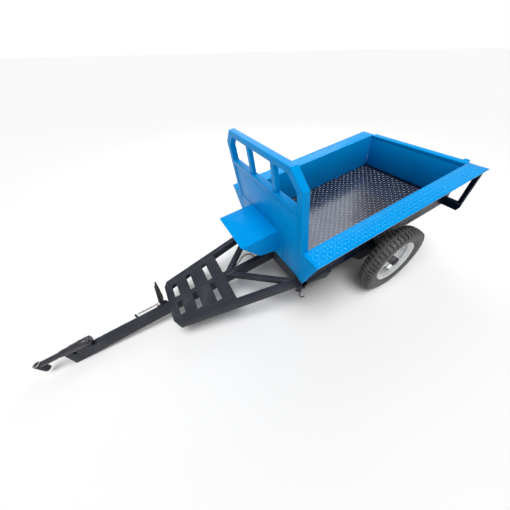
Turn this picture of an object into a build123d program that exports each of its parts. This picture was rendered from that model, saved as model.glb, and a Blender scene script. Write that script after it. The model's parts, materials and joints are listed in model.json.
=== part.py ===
"""Two-wheeled tow-behind cart with a tipping tray, a drop tailgate and a driver's seat.

The cart is drawn level: X points forward to the hitch, Y to the cart's left, Z up, with X = 0 at the
front face of the headboard and Z = 0 at the top of the tray floor. At the end every part is turned
nose down onto its two tyres and its hitch bush, the way the cart stands when it is uncoupled, and moved
so that the origin lies on the ground under the middle of the whole cart. All sizes are millimetres.
"""
from build123d import *
import math
import os

# ---------------------------------------------------------------- tray
TRAY_LENGTH = 1443.0          # headboard front face to the rear face of the rear beam
TRAY_HALF_WIDTH = 406.0       # outer faces of the side walls and of the headboard posts
WALL_HEIGHT = 280.0           # floor to the top of the side flanges
SHEET = 3.0                   # tray sheet steel
FLANGE_WIDTH = 126.0          # side flange, outwards from the wall
FLANGE_SHEET = 4.0            # checker plate of the flanges
TRAY_RAIL_DEPTH = 45.0        # tubes of the tray's own frame
TRAY_RAIL_WIDTH = 40.0
REAR_BEAM_WIDTH = 50.0        # along X
REAR_BEAM_OVERHANG = 109.0    # past the side wall, each side
CORNER_POST = 30.0            # square tube under the flange's rear corner
MID_MEMBERS = 2               # cross members between the front one and the tip hinge

# ---------------------------------------------------------------- headboard and seat
HEADBOARD_HEIGHT = 734.0
HEADBOARD_DEPTH = 40.0
HEADBOARD_BEVEL = 82.0        # 45 degree corners
POST_WIDTH = 45.0
TOP_BAR_HEIGHT = 36.0
LEDGE_TOP = 537.0             # lower edge of the three windows
LEDGE_HEIGHT = 25.0
DIVIDER_WIDTH = 38.0
DIVIDER_DEPTH = 25.0
DIVIDER_CENTRES = (-109.0, 154.0)
PANEL_RECESS = 4.0            # front sheet behind the faces of the posts
LOWER_SHEET_TOP = 272.0
LOWER_SHEET_EDGE = 180.0      # left edge of the doubled lower sheet
SEAT_TOP = 268.0
SEAT_DEPTH = 254.0
SEAT_LEFT = 159.0
SEAT_RIGHT = -205.0
SEAT_SIDE_SHEET = 3.0
SEAT_SIDE_DROP = 131.0        # seat top to the lowest front corner of its side plates
SEAT_SIDE_FOOT = 150.0        # forward reach of the side plate's lower edge
SEAT_SIDE_RISE = 37.0         # extra drop of the lower edge at the headboard

# ---------------------------------------------------------------- chassis
FRAME_DEPTH = 57.0            # side rails, longitudinals and inner cross members
FRAME_RAIL_WIDTH = 45.0
RAIL_FRONT_X = 790.0
RAIL_FRONT_Y = 193.0          # outer edge of the side rails at their front end
RAIL_REAR_X = -240.0
RAIL_REAR_Y = TRAY_HALF_WIDTH + 9.0           # outer edge at the rear end
RAIL_END_SLANT = 35.0         # how far the cut at the rear end leans
FRONT_MEMBER_DEPTH = 80.0
MID_MEMBER_WIDTH = 45.0
REAR_MEMBER_WIDTH = 40.0
LONGITUDINAL_OUTER = TRAY_HALF_WIDTH - 34.0
LONGITUDINAL_WIDTH = 50.0
BRACE_WIDTH = 38.0
BRACE_DEPTH = 35.0
BRACE_START_X = 372.0         # on the drawbar
BRACE_END_X = 42.0            # at the side rails
FOOTPLATE_SHEET = 4.0
FOOTPLATE_REAR_X = 398.0
SLOT_WIDTH = 34.0
SLOT_ROWS = ((744.0, 150.0), (633.0, 165.0), (501.0, 180.0))   # row centre, outer end
SLOT_INNER_END = 20.0
FRONT_ANGLE_WIDTH = 22.0
FRONT_ANGLE_DEPTH = 50.0
FRONT_ANGLE_SHEET = 5.0
FRONT_CORNER_Y = 150.0        # half width of the footplate's straight front edge

# ---------------------------------------------------------------- drawbar and tow eye
DRAWBAR_WIDTH = 40.0
DRAWBAR_HEIGHT = 80.0
DRAWBAR_WALL = 4.0
DRAWBAR_LENGTH = 1400.0
NOSE_LENGTH = 52.0
NOSE_SLANT = 14.0             # the nose's foot is this much further forward than its top
SLEEVE_REAR_X = 1300.0
SLEEVE_STEPS = ((50.0, 27.0), (50.0, 25.0), (40.0, 22.0))      # length and radius, rear to front
SWIVEL_ROD_R = 17.0
RUNNING_FIT = 0.05            # radial clearance of every turning fit
END_PLAY = 0.3                # gap between faces that turn past each other
SWIVEL_NUT_SIZE = 46.0        # across flats
SWIVEL_NUT_LENGTH = 12.0
SWIVEL_COLLAR_R = 20.0
SWIVEL_COLLAR_LENGTH = 12.0
EYE_X = 1568.0                # centre of the hitch bush
EYE_OUTER_R = 18.5
EYE_BORE_R = 12.0
EYE_LENGTH = 82.0
EYE_ABOVE_ROD = 20.0          # bush top above the swivel axis
EYE_CHAMFER = 1.5
NOSE_TOP_DROP = 12.0           # nose and saddle tops below the swivel axis
SWIVEL_ROD_END = 6.0           # rod standing out of its nut

# ---------------------------------------------------------------- axle and wheels
AXLE_X = -725.0
AXLE_Z = -162.0
AXLE_TUBE = 50.0
AXLE_HALF_LENGTH = TRAY_HALF_WIDTH + 39.0
BRACKET_SHEET = 6.0
BRACKET_TOP_HALF = 255.0      # half length of the bracket plate at its top
BRACKET_FOOT_HALF = 148.0
BRACKET_LAP = 30.0            # lap over the longitudinal's side
BRACKET_FOOT = 23.0           # plate below the axle tube
WHEEL_Y = TRAY_HALF_WIDTH + 111.0               # centre plane of the left wheel
TYRE_R = 267.5
TYRE_HALF_WIDTH = 55.0
TREAD_HALF_WIDTH = 47.0
TREAD_SHOULDER_DROP = 10.0
TYRE_WALL = 11.0
BEAD_SEAT_R = 155.0
BEAD_GAP = 0.2
TYRE_NECK_GAP = 2.0            # tyre wall above the rim's flange
RIM_HALF_WIDTH = 42.0
RIM_FLANGE_R = 172.0
RIM_SHEET = 4.0
RIM_WELL_R = 146.0
RIM_WELL_HALF = 24.0
DISC_OFFSET = -12.0           # wheel disc's middle, inboard of the centre plane
HUB_R = 32.0
HUB_FLANGE_R = 74.0
HUB_FLANGE_SHEET = 8.0
HUB_INNER = -50.0             # along the spindle from the wheel's centre plane, outwards positive
HUB_OUTER = 36.0
HUB_BORE_R = 20.0
BEARING_R = 26.0
BEARING_WIDTH = 14.0
BEARING_INSET = 2.0
SPINDLE_R = 15.0
SPINDLE_SHOULDER_R = 22.0
SPINDLE_THREAD_R = 9.0
SPINDLE_NUT_SIZE = 27.0
SPINDLE_NUT_HEIGHT = 8.0
SPINDLE_END = 1.5
HUB_CAP_LENGTH = 14.0
HUB_CAP_SHEET = 2.0
HUB_CAP_CORNER = 5.0
HUB_NECK = 4.0                 # hub wall thickened behind the flange
DISC_BORE_GAP = 0.5
STUD_R = 6.0
STUD_HOLE_GAP = 0.2
STUD_CIRCLE_R = 55.0
STUD_COUNT = 4
WHEEL_NUT_SIZE = 19.0
WHEEL_NUT_HEIGHT = 10.0
STUD_END = 6.0                # stud standing out of its nut
VALVE_R = 4.0
VALVE_LENGTH = 34.0
VALVE_CIRCLE_R = 118.0
VALVE_FOOT = 3.0
VALVE_FOOT_LENGTH = 5.0

# ---------------------------------------------------------------- tip hinge
TIP_X = -936.0
TIP_DROP = 28.0               # pin axis below the tray's frame
TIP_PIN_R = 10.0
TIP_BUSH_R = 17.0
TIP_LUG_R = 22.0
TIP_LUG_SHEET = 8.0
TIP_CENTRE_Y = TRAY_HALF_WIDTH - 86.0
TIP_BUSH_LENGTH = 30.0
TIP_HANGER = 24.0
TIP_SIDE_PLAY = 1.0            # bush end to lug
TIP_PIN_END = 3.0              # pin standing out of its lug
TIP_LUG_MARGIN = 9.0           # lug's rounding to the rear cross member

# ---------------------------------------------------------------- tailgate
GATE_SIDE_GAP = 5.0           # gate edge to the inside of the side wall
GATE_DEPTH = 27.0             # gate's inner face ahead of the rear beam's rear face
GATE_RAIL = 25.0              # height of the top and bottom rails
GATE_TOP_WIDTH = 47.0
GATE_LIFT = 1.0               # clearance over the rear beam
GATE_HINGE_BACK = 8.0         # hinge axis behind and below the rear beam's top edge
GATE_PIN_R = 4.0
GATE_KNUCKLE_R = 7.5
GATE_KNUCKLE_LENGTH = 30.0
GATE_STRAP_SHEET = 3.0
GATE_HINGE_SPACING = 300.0
GATE_TAB_WIDTH = 38.0
GATE_TAB_REACH = 26.0
GATE_TAB_SHEET = 12.0
GATE_TAB_ROUNDING = 10.0
GATE_TAB_INSET = 8.0           # tab to the gate's edge
GATE_FOOT_SETBACK = 4.0        # bottom rail thinner than it is high

# ---------------------------------------------------------------- brake pedal and latch hooks
PEDAL_PIVOT_X = 852.0
PEDAL_PIVOT_Z = -18.0
PEDAL_PIN_R = 6.0
PEDAL_BRACKET_SHEET = 8.0
PEDAL_BRACKET_LENGTH = 80.0
PEDAL_ARM_SHEET = 8.0
PEDAL_ARM_WIDTH = 22.0
PEDAL_HEIGHT = 138.0          # pad top above the tray floor's level
PEDAL_TOP_X = 798.0
PEDAL_FOOT_X = 826.0
PEDAL_FOOT_Z = -10.0
PEDAL_PAD_WIDTH = 46.0
PEDAL_PAD_SHEET = 9.0
PEDAL_TAIL = 24.0             # pivot to the spring eye
PEDAL_BRACKET_LAP = 4.0
PEDAL_BRACKET_RISE = 20.0      # bracket's foot above the drawbar's underside
PEDAL_BRACKET_STEP = 6.0
PEDAL_PIN_HEAD = 5.0
PEDAL_PIN_FLANGE = 4.0
PEDAL_PAD_LIP = 12.0
PEDAL_PAD_ROUNDING = 8.0
SPRING_R = 6.5
SPRING_LENGTH = 160.0
SPRING_GAP = 3.0               # under the coil
ANCHOR_SHEET = 8.0
ANCHOR_FOOT = 22.0
CABLE_R = 4.0
CABLE_STOP_SHEET = 10.0
CABLE_STOP_HALF = 12.0
CABLE_ROUTE = (
    (770.0, -44.0, -86.0),
    (690.0, -44.0, -86.0),
    (585.0, -50.0, -92.0),
    (470.0, -56.0, -97.0),
    (355.0, -61.0, -100.0),
    (265.0, -66.0, -98.0),
    (200.0, -72.0, -38.0),
    (140.0, -75.0, -64.0),
    (106.0, -77.0, -146.0),
    (40.0, -78.0, -160.0),
    (-60.0, -79.0, -165.0),
    (-175.0, -80.0, -168.0),
    (-290.0, -80.5, -169.5),
    (-405.0, -80.0, -170.0),
    (-510.0, -79.0, -169.0),
    (-605.0, -77.0, -166.0),
    (-690.0, -77.0, -166.0),
)
LUG_HALF_LENGTH = 46.0
LUG_SHEET = 8.0
LUG_Y = TRAY_HALF_WIDTH - 12.0                 # inner face of the latch lug
LUG_Z = -66.0
LUG_HALF_HEIGHT = 15.0
HOOK_PIN_X = 22.0
HOOK_PIN_R = 6.0
HOOK_BAR_R = 6.0
HOOK_EYE_R = 14.0
HOOK_DROP = 62.0              # straight shank below the pin
HOOK_BEND_R = 52.0
HOOK_BEND_ANGLE = 74.0
STUD_HEAD_R = 8.0             # loose end of the second lug bolt
LUG_SPACER_HALF = 20.0         # half length of the block behind the lug
LUG_SPACER_INSET = 3.0
HOOK_PIN_HEAD = 4.0
HOOK_PIN_FLANGE = 3.0
STUD_HEAD_LENGTH = 10.0
HOOK_EYE_LAP = 2.0
HOOK_SHANK_R = 5.0

# ---------------------------------------------------------------- derived heights
TRAY_UNDERSIDE = -SHEET - TRAY_RAIL_DEPTH
FRAME_BOTTOM = TRAY_UNDERSIDE - FRAME_DEPTH
DRAWBAR_TOP = TRAY_UNDERSIDE - FOOTPLATE_SHEET
DRAWBAR_BOTTOM = DRAWBAR_TOP - DRAWBAR_HEIGHT
SLEEVE_LENGTH = sum(step[0] for step in SLEEVE_STEPS)
SLEEVE_MAX_R = max(step[1] for step in SLEEVE_STEPS)
SADDLE_HEIGHT = 15.0          # drawbar top to the underside of the sleeve's thickest step
SWIVEL_Z = DRAWBAR_TOP + SADDLE_HEIGHT + SLEEVE_MAX_R
EYE_TOP = SWIVEL_Z + EYE_ABOVE_ROD
EYE_BOTTOM = EYE_TOP - EYE_LENGTH
TIP_Z = TRAY_UNDERSIDE - TIP_DROP
FLANGE_OUTER = TRAY_HALF_WIDTH + FLANGE_WIDTH
WALL_INNER = TRAY_HALF_WIDTH - SHEET
WALL_TOP = WALL_HEIGHT - FLANGE_SHEET
POST_INNER = TRAY_HALF_WIDTH - POST_WIDTH
BEAM_FRONT_X = -TRAY_LENGTH + REAR_BEAM_WIDTH
REAR_MEMBER_X = TIP_X + TIP_LUG_R + TIP_LUG_MARGIN          # rear face of the chassis' rear cross member
GATE_HALF_WIDTH = WALL_INNER - GATE_SIDE_GAP + SHEET
GATE_INNER_X = -TRAY_LENGTH + GATE_DEPTH
GATE_HINGE_X = -TRAY_LENGTH - GATE_HINGE_BACK
GATE_HINGE_Z = -GATE_HINGE_BACK


def nose_down_angle():
    """Angle, in degrees, at which the tyres and the hitch nose's foot stand on one level."""
    reach = DRAWBAR_LENGTH + NOSE_LENGTH - AXLE_X
    rise = AXLE_Z - DRAWBAR_BOTTOM
    return math.degrees(math.asin(TYRE_R / math.hypot(reach, rise)) - math.atan2(rise, reach))


# ---------------------------------------------------------------- helpers
def block(x, y, z):
    """Box between pairs of X, Y and Z limits."""
    size = (x[1] - x[0], y[1] - y[0], z[1] - z[0])
    middle = ((x[0] + x[1]) / 2, (y[0] + y[1]) / 2, (z[0] + z[1]) / 2)
    return Pos(*middle) * Box(*size)


def tube(x, y, z, wall, along):
    """Rectangular tube whose bore runs along one axis, X or Y."""
    outer = block(x, y, z)
    inside = {"X": (x, shrink(y, wall), shrink(z, wall)), "Y": (shrink(x, wall), y, shrink(z, wall))}
    return outer - block(*inside[along])


def shrink(limits, by):
    """Both limits of a range moved inwards."""
    return (limits[0] + by, limits[1] - by)


def plan(points, z):
    """Outline of X and Y points raised between two Z limits."""
    face = make_face(Polyline(*points, close=True))
    return Pos(0, 0, z[0]) * extrude(face, z[1] - z[0])


def front_view(points, x):
    """Outline of Y and Z points thickened between two X limits."""
    face = make_face(Plane.YZ * Polyline(*points, close=True))
    return Pos(x[0], 0, 0) * extrude(face, x[1] - x[0], dir=(1, 0, 0))


def side_view(points, y):
    """Outline of X and Z points thickened between two Y limits."""
    outline = Polyline(*[(x, 0, z) for x, z in points], close=True)
    return Pos(0, y[0], 0) * extrude(make_face(outline), y[1] - y[0], dir=(0, 1, 0))


def between(start, end, share):
    """Point on the way from one outline point to another."""
    return (start[0] + share * (end[0] - start[0]), start[1] + share * (end[1] - start[1]))


def mitred_tube(outline, width, x):
    """Tube in the YZ plane, its outline given as outer start, outer end, inner end and inner start."""
    share = SHEET / width
    outer_start, outer_end, inner_end, inner_start = outline
    cavity = [between(outer_start, inner_start, share), between(outer_end, inner_end, share),
              between(inner_end, outer_end, share), between(inner_start, outer_start, share)]
    return front_view(outline, x) - front_view(cavity, shrink(x, SHEET))


def rod_y(x, y, z, radius):
    """Round bar along Y between two Y limits."""
    return Pos(x, (y[0] + y[1]) / 2, z) * Rot(90, 0, 0) * Cylinder(radius, y[1] - y[0])


def rod_x(x, y, z, radius):
    """Round bar along X between two X limits."""
    return Pos((x[0] + x[1]) / 2, y, z) * Rot(0, 90, 0) * Cylinder(radius, x[1] - x[0])


def hexagon(across_flats, height):
    """Hexagonal prism on the XY plane."""
    return extrude(RegularPolygon(across_flats / 2, 6, major_radius=False), height)


def both_sides(solid):
    """The solid and its mirror image across the cart's middle plane."""
    return [solid, mirror(solid, Plane.XZ)]


def solids_of(shapes):
    """Flat list of the solids in one shape or in a list of shapes."""
    items = shapes if isinstance(shapes, (list, tuple)) else [shapes]
    return [solid for item in items for solid in item.solids()]


# ---------------------------------------------------------------- tray
def wall_outline():
    """Side wall with a step over the rear beam, which reaches up to floor level."""
    front = -HEADBOARD_DEPTH
    return [(front, -SHEET), (front, WALL_TOP), (-TRAY_LENGTH, WALL_TOP), (-TRAY_LENGTH, 0),
            (BEAM_FRONT_X, 0), (BEAM_FRONT_X, -SHEET)]


def tray_floor():
    """Floor plate, let in between the headboard posts."""
    main = block((BEAM_FRONT_X, -HEADBOARD_DEPTH), (-WALL_INNER, WALL_INNER), (-SHEET, 0))
    tongue = block((-HEADBOARD_DEPTH, -PANEL_RECESS - SHEET), (-POST_INNER, POST_INNER), (-SHEET, 0))
    return main + tongue


def side_walls():
    """Upright side sheets."""
    return both_sides(side_view(wall_outline(), (WALL_INNER, TRAY_HALF_WIDTH)))


def side_flanges():
    """Checker plate ledges along the tops of the side walls."""
    behind_post = block((-TRAY_LENGTH, -HEADBOARD_DEPTH), (WALL_INNER, FLANGE_OUTER), (WALL_TOP, WALL_HEIGHT))
    beside_post = block((-HEADBOARD_DEPTH, 0), (TRAY_HALF_WIDTH, FLANGE_OUTER), (WALL_TOP, WALL_HEIGHT))
    return both_sides(behind_post + beside_post)


def front_corner_plates():
    """Triangles that close the flanges' front ends."""
    points = [(TRAY_HALF_WIDTH, 0), (TRAY_HALF_WIDTH, WALL_TOP), (FLANGE_OUTER, WALL_TOP)]
    return both_sides(front_view(points, (-SHEET, 0)))


def tray_rails():
    """Tubes under the side walls."""
    y = (TRAY_HALF_WIDTH - TRAY_RAIL_WIDTH, TRAY_HALF_WIDTH)
    x = (BEAM_FRONT_X, -HEADBOARD_DEPTH)
    return both_sides(tube(x, y, (TRAY_UNDERSIDE, -SHEET), SHEET, "X"))


def tray_cross_members():
    """Front tube under the headboard, the ones between the rails and the one over the tip hinge."""
    z = (TRAY_UNDERSIDE, -SHEET)
    front = tube((-HEADBOARD_DEPTH, 0), (-TRAY_HALF_WIDTH, TRAY_HALF_WIDTH), z, SHEET, "Y")
    inner = TRAY_HALF_WIDTH - TRAY_RAIL_WIDTH
    pitch = TIP_X / (MID_MEMBERS + 1)
    centres = [pitch * (index + 1) for index in range(MID_MEMBERS)] + [TIP_X]
    half = TRAY_RAIL_WIDTH / 2
    return [front] + [tube((x - half, x + half), (-inner, inner), z, SHEET, "Y") for x in centres]


def rear_beam():
    """Tube across the tray's rear end, standing out past both walls."""
    half = TRAY_HALF_WIDTH + REAR_BEAM_OVERHANG
    return tube((-TRAY_LENGTH, BEAM_FRONT_X), (-half, half), (TRAY_UNDERSIDE, 0), SHEET, "Y")


def rear_corner_posts():
    """Upright tubes from the ends of the rear beam to the flanges."""
    outer = TRAY_HALF_WIDTH + REAR_BEAM_OVERHANG
    x = (-TRAY_LENGTH, -TRAY_LENGTH + CORNER_POST)
    post = block(x, (outer - CORNER_POST, outer), (0, WALL_TOP))
    bore = block(shrink(x, SHEET), shrink((outer - CORNER_POST, outer), SHEET), (0, WALL_TOP))
    return both_sides(post - bore)


def tip_bushes():
    """Bushes of the tip hinge, each with its hanger under the tray's rear cross member."""
    y = (TIP_CENTRE_Y - TIP_BUSH_LENGTH / 2, TIP_CENTRE_Y + TIP_BUSH_LENGTH / 2)
    hanger = block((TIP_X - TIP_HANGER / 2, TIP_X + TIP_HANGER / 2), y, (TIP_Z, TRAY_UNDERSIDE))
    bush = rod_y(TIP_X, y, TIP_Z, TIP_BUSH_R)
    bore = rod_y(TIP_X, y, TIP_Z, TIP_PIN_R + RUNNING_FIT)
    return both_sides(hanger + bush - bore)


# ---------------------------------------------------------------- headboard and seat
def frame_corner():
    """Inner mitre points of the headboard frame: post to bevel, and bevel to top bar."""
    inner_sum = TRAY_HALF_WIDTH + HEADBOARD_HEIGHT - HEADBOARD_BEVEL - POST_WIDTH * math.sqrt(2)
    bar_bottom = HEADBOARD_HEIGHT - TOP_BAR_HEIGHT
    return (POST_INNER, inner_sum - POST_INNER), (inner_sum - bar_bottom, bar_bottom)


def headboard_posts():
    """Two upright tubes with mitred tops."""
    lower, _ = frame_corner()
    shoulder = HEADBOARD_HEIGHT - HEADBOARD_BEVEL
    points = [(TRAY_HALF_WIDTH, -SHEET), (TRAY_HALF_WIDTH, shoulder), lower, (POST_INNER, -SHEET)]
    return both_sides(mitred_tube(points, POST_WIDTH, (-HEADBOARD_DEPTH, 0)))


def headboard_top():
    """Top bar and the two bevelled corner pieces, mitred together."""
    lower, upper = frame_corner()
    shoulder = HEADBOARD_HEIGHT - HEADBOARD_BEVEL
    crown = TRAY_HALF_WIDTH - HEADBOARD_BEVEL
    bevel = [(TRAY_HALF_WIDTH, shoulder), (crown, HEADBOARD_HEIGHT), upper, lower]
    bar = [(-crown, HEADBOARD_HEIGHT), (crown, HEADBOARD_HEIGHT), upper, (-upper[0], upper[1])]
    x = (-HEADBOARD_DEPTH, 0)
    return both_sides(mitred_tube(bevel, POST_WIDTH, x)) + [mitred_tube(bar, TOP_BAR_HEIGHT, x)]


def headboard_dividers():
    """Upright bars between the three windows."""
    middle = -HEADBOARD_DEPTH / 2
    x = (middle - DIVIDER_DEPTH / 2, middle + DIVIDER_DEPTH / 2)
    z = (LEDGE_TOP, HEADBOARD_HEIGHT - TOP_BAR_HEIGHT)
    half = DIVIDER_WIDTH / 2
    return [block(x, (y - half, y + half), z) for y in DIVIDER_CENTRES]


def headboard_ledge():
    """Sill tube under the windows."""
    z = (LEDGE_TOP - LEDGE_HEIGHT, LEDGE_TOP)
    return tube((-HEADBOARD_DEPTH, 0), (-POST_INNER, POST_INNER), z, SHEET, "Y")


def front_sheet():
    """Tray's front wall between the posts."""
    x = (-PANEL_RECESS - SHEET, -PANEL_RECESS)
    return block(x, (-POST_INNER, POST_INNER), (-SHEET, LEDGE_TOP - LEDGE_HEIGHT))


def lower_front_sheet():
    """Doubling sheet behind the seat."""
    y = (-POST_INNER, LOWER_SHEET_EDGE)
    return block((-PANEL_RECESS, -PANEL_RECESS + SHEET), y, (0, LOWER_SHEET_TOP))


def seat_plate():
    """Flat seat in front of the headboard."""
    x = (-PANEL_RECESS + SHEET, SEAT_DEPTH)
    return block(x, (SEAT_RIGHT, SEAT_LEFT), (SEAT_TOP - SHEET, SEAT_TOP))


def seat_sides():
    """Two upright plates that carry the seat."""
    top = SEAT_TOP - SHEET
    foot = SEAT_TOP - SEAT_SIDE_DROP
    back = -PANEL_RECESS + SHEET
    points = [(back, top), (SEAT_DEPTH - SHEET, top), (SEAT_SIDE_FOOT, foot), (back, foot - SEAT_SIDE_RISE)]
    left = side_view(points, (SEAT_LEFT - SEAT_SIDE_SHEET, SEAT_LEFT))
    right = side_view(points, (SEAT_RIGHT, SEAT_RIGHT + SEAT_SIDE_SHEET))
    return [left, right]


# ---------------------------------------------------------------- chassis
def rail_outer(x):
    """Outer edge of the left side rail at one X."""
    slope = (RAIL_REAR_Y - RAIL_FRONT_Y) / (RAIL_FRONT_X - RAIL_REAR_X)
    return RAIL_FRONT_Y + slope * (RAIL_FRONT_X - x)


def rail_inner(x, width=FRAME_RAIL_WIDTH):
    """Inner edge of the left side rail at one X, or a line that far inside its outer edge."""
    slope = (RAIL_REAR_Y - RAIL_FRONT_Y) / (RAIL_FRONT_X - RAIL_REAR_X)
    return rail_outer(x) - width * math.sqrt(1 + slope * slope)


def inside_rails(x, z):
    """Space between the inner faces of the two side rails."""
    points = [(x[0], rail_inner(x[0])), (x[1], rail_inner(x[1])), (x[1], -rail_inner(x[1])),
              (x[0], -rail_inner(x[0]))]
    return plan(points, z)


def side_rails():
    """The two rails that spread from the footplate's front to under the tray."""
    front, rear = RAIL_FRONT_X, RAIL_REAR_X
    near, far = DRAWBAR_WALL, FRAME_RAIL_WIDTH - DRAWBAR_WALL
    z = (FRAME_BOTTOM, TRAY_UNDERSIDE)
    outside = [(front, rail_outer(front)), (rear, rail_outer(rear)), (rear, rail_inner(rear)),
               (front, rail_inner(front))]
    bore = [(front, rail_inner(front, near)), (rear, rail_inner(rear, near)), (rear, rail_inner(rear, far)),
            (front, rail_inner(front, far))]
    rail = plan(outside, z) - plan(bore, shrink(z, DRAWBAR_WALL))
    wedge = [(rear, TRAY_UNDERSIDE), (rear, FRAME_BOTTOM), (rear + RAIL_END_SLANT, FRAME_BOTTOM)]
    return both_sides(rail - side_view(wedge, (0, RAIL_REAR_Y + FRAME_RAIL_WIDTH)))


def footplate():
    """Slotted plate between the rails, lying on the drawbar."""
    plate = inside_rails((FOOTPLATE_REAR_X, RAIL_FRONT_X), (DRAWBAR_TOP, TRAY_UNDERSIDE))
    half = SLOT_WIDTH / 2
    for row_x, outer_end in SLOT_ROWS:
        rear, front = row_x - half, row_x + half
        reach = min(outer_end, rail_inner(front) - SLOT_INNER_END)
        slot = block((rear, front), (SLOT_INNER_END, reach), (DRAWBAR_TOP, TRAY_UNDERSIDE))
        for cut in both_sides(slot):
            plate -= cut
    return plate


def footplate_front_angle():
    """Angle across the footplate's front, its corners cut back to the rails."""
    corner_y = rail_outer(RAIL_FRONT_X)
    front = RAIL_FRONT_X + FRONT_ANGLE_WIDTH

    def outline(inset):
        tip = front - inset
        return [(RAIL_FRONT_X, corner_y - inset), (tip, FRONT_CORNER_Y - inset / 2),
                (tip, inset / 2 - FRONT_CORNER_Y), (RAIL_FRONT_X, inset - corner_y)]

    solid = plan(outline(0), (TRAY_UNDERSIDE - FRONT_ANGLE_DEPTH, TRAY_UNDERSIDE))
    hollow = plan(outline(FRONT_ANGLE_SHEET),
                  (TRAY_UNDERSIDE - FRONT_ANGLE_DEPTH, TRAY_UNDERSIDE - FRONT_ANGLE_SHEET))
    half = DRAWBAR_WIDTH / 2
    notch = block((RAIL_FRONT_X, front), (-half, half), (TRAY_UNDERSIDE - FRONT_ANGLE_DEPTH, DRAWBAR_TOP))
    return solid - hollow - notch


def brace_centre_line():
    """Start and end of the left brace's middle line, on the drawbar and at the side rail."""
    return (BRACE_START_X, 0.0), (BRACE_END_X, rail_inner(BRACE_END_X))


def braces():
    """The two diagonal tubes between the drawbar and the side rails."""
    start, end = brace_centre_line()
    angle = math.degrees(math.atan2(end[1] - start[1], end[0] - start[0]))
    length = math.hypot(end[0] - start[0], end[1] - start[1]) + 2 * BRACE_WIDTH
    middle = ((start[0] + end[0]) / 2, (start[1] + end[1]) / 2, TRAY_UNDERSIDE - BRACE_DEPTH / 2)
    bore = Box(length, BRACE_WIDTH - 2 * SHEET, BRACE_DEPTH - 2 * SHEET)
    bar = Pos(*middle) * Rot(0, 0, angle) * (Box(length, BRACE_WIDTH, BRACE_DEPTH) - bore)
    room = inside_rails((0, FOOTPLATE_REAR_X), (FRAME_BOTTOM, TRAY_UNDERSIDE))
    bar = (bar & room) - block((0, FOOTPLATE_REAR_X), (-TRAY_HALF_WIDTH, DRAWBAR_WIDTH / 2),
                               (FRAME_BOTTOM, TRAY_UNDERSIDE))
    return both_sides(bar)


def front_cross_member():
    """Deep tube across the chassis under the headboard, cut to the side rails."""
    x = (-HEADBOARD_DEPTH, 0)
    z = (TRAY_UNDERSIDE - FRONT_MEMBER_DEPTH, TRAY_UNDERSIDE)
    bar = inside_rails(x, z)
    bore = block(shrink(x, DRAWBAR_WALL), (-TRAY_HALF_WIDTH, TRAY_HALF_WIDTH), shrink(z, DRAWBAR_WALL))
    return bar - bore


def frame_cross_members():
    """Tubes across the chassis at the side rails' rear ends and at the tip hinge."""
    z = (FRAME_BOTTOM, TRAY_UNDERSIDE)
    middle = inside_rails((RAIL_REAR_X, RAIL_REAR_X + MID_MEMBER_WIDTH), z)
    bore = block((RAIL_REAR_X + DRAWBAR_WALL, RAIL_REAR_X + MID_MEMBER_WIDTH - DRAWBAR_WALL),
                 (-TRAY_HALF_WIDTH, TRAY_HALF_WIDTH), shrink(z, DRAWBAR_WALL))
    rear = tube((REAR_MEMBER_X, REAR_MEMBER_X + REAR_MEMBER_WIDTH),
                (-LONGITUDINAL_OUTER, LONGITUDINAL_OUTER), z, DRAWBAR_WALL, "Y")
    return [middle - bore, rear]


def longitudinals():
    """Two tubes along the chassis over the axle."""
    x = (REAR_MEMBER_X + REAR_MEMBER_WIDTH, RAIL_REAR_X)
    y = (LONGITUDINAL_OUTER - LONGITUDINAL_WIDTH, LONGITUDINAL_OUTER)
    return both_sides(tube(x, y, (FRAME_BOTTOM, TRAY_UNDERSIDE), DRAWBAR_WALL, "X"))


def tip_hinge_lugs():
    """Chassis lugs of the tip hinge, a pair at each bush."""
    lugs = []
    for side in (-1, 1):
        face = TIP_CENTRE_Y + side * (TIP_BUSH_LENGTH / 2 + TIP_SIDE_PLAY)
        y = tuple(sorted((face, face + side * TIP_LUG_SHEET)))
        arm = block((TIP_X, REAR_MEMBER_X), y, (TIP_Z - TIP_LUG_R, TIP_Z + TIP_LUG_R))
        lug = arm + rod_y(TIP_X, y, TIP_Z, TIP_LUG_R) - rod_y(TIP_X, y, TIP_Z, TIP_PIN_R)
        lugs += both_sides(lug)
    return lugs


def tip_hinge_pins():
    """Pins of the tip hinge, pressed into the lugs."""
    reach = TIP_BUSH_LENGTH / 2 + TIP_SIDE_PLAY + TIP_LUG_SHEET + TIP_PIN_END
    pin = rod_y(TIP_X, (TIP_CENTRE_Y - reach, TIP_CENTRE_Y + reach), TIP_Z, TIP_PIN_R)
    return both_sides(pin)


# ---------------------------------------------------------------- drawbar and swivel
def drawbar():
    """Rectangular tube from the front cross member to the hitch nose."""
    half = DRAWBAR_WIDTH / 2
    return tube((0, DRAWBAR_LENGTH), (-half, half), (DRAWBAR_BOTTOM, DRAWBAR_TOP), DRAWBAR_WALL, "X")


def hitch_nose():
    """Block at the drawbar's front end that carries the front of the swivel sleeve."""
    half = DRAWBAR_WIDTH / 2
    front = DRAWBAR_LENGTH + NOSE_LENGTH
    points = [(DRAWBAR_LENGTH, DRAWBAR_BOTTOM), (front, DRAWBAR_BOTTOM), (front - NOSE_SLANT, SWIVEL_Z - NOSE_TOP_DROP),
              (DRAWBAR_LENGTH, SWIVEL_Z - NOSE_TOP_DROP)]
    return side_view(points, (-half, half)) - sleeve_room()


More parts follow.
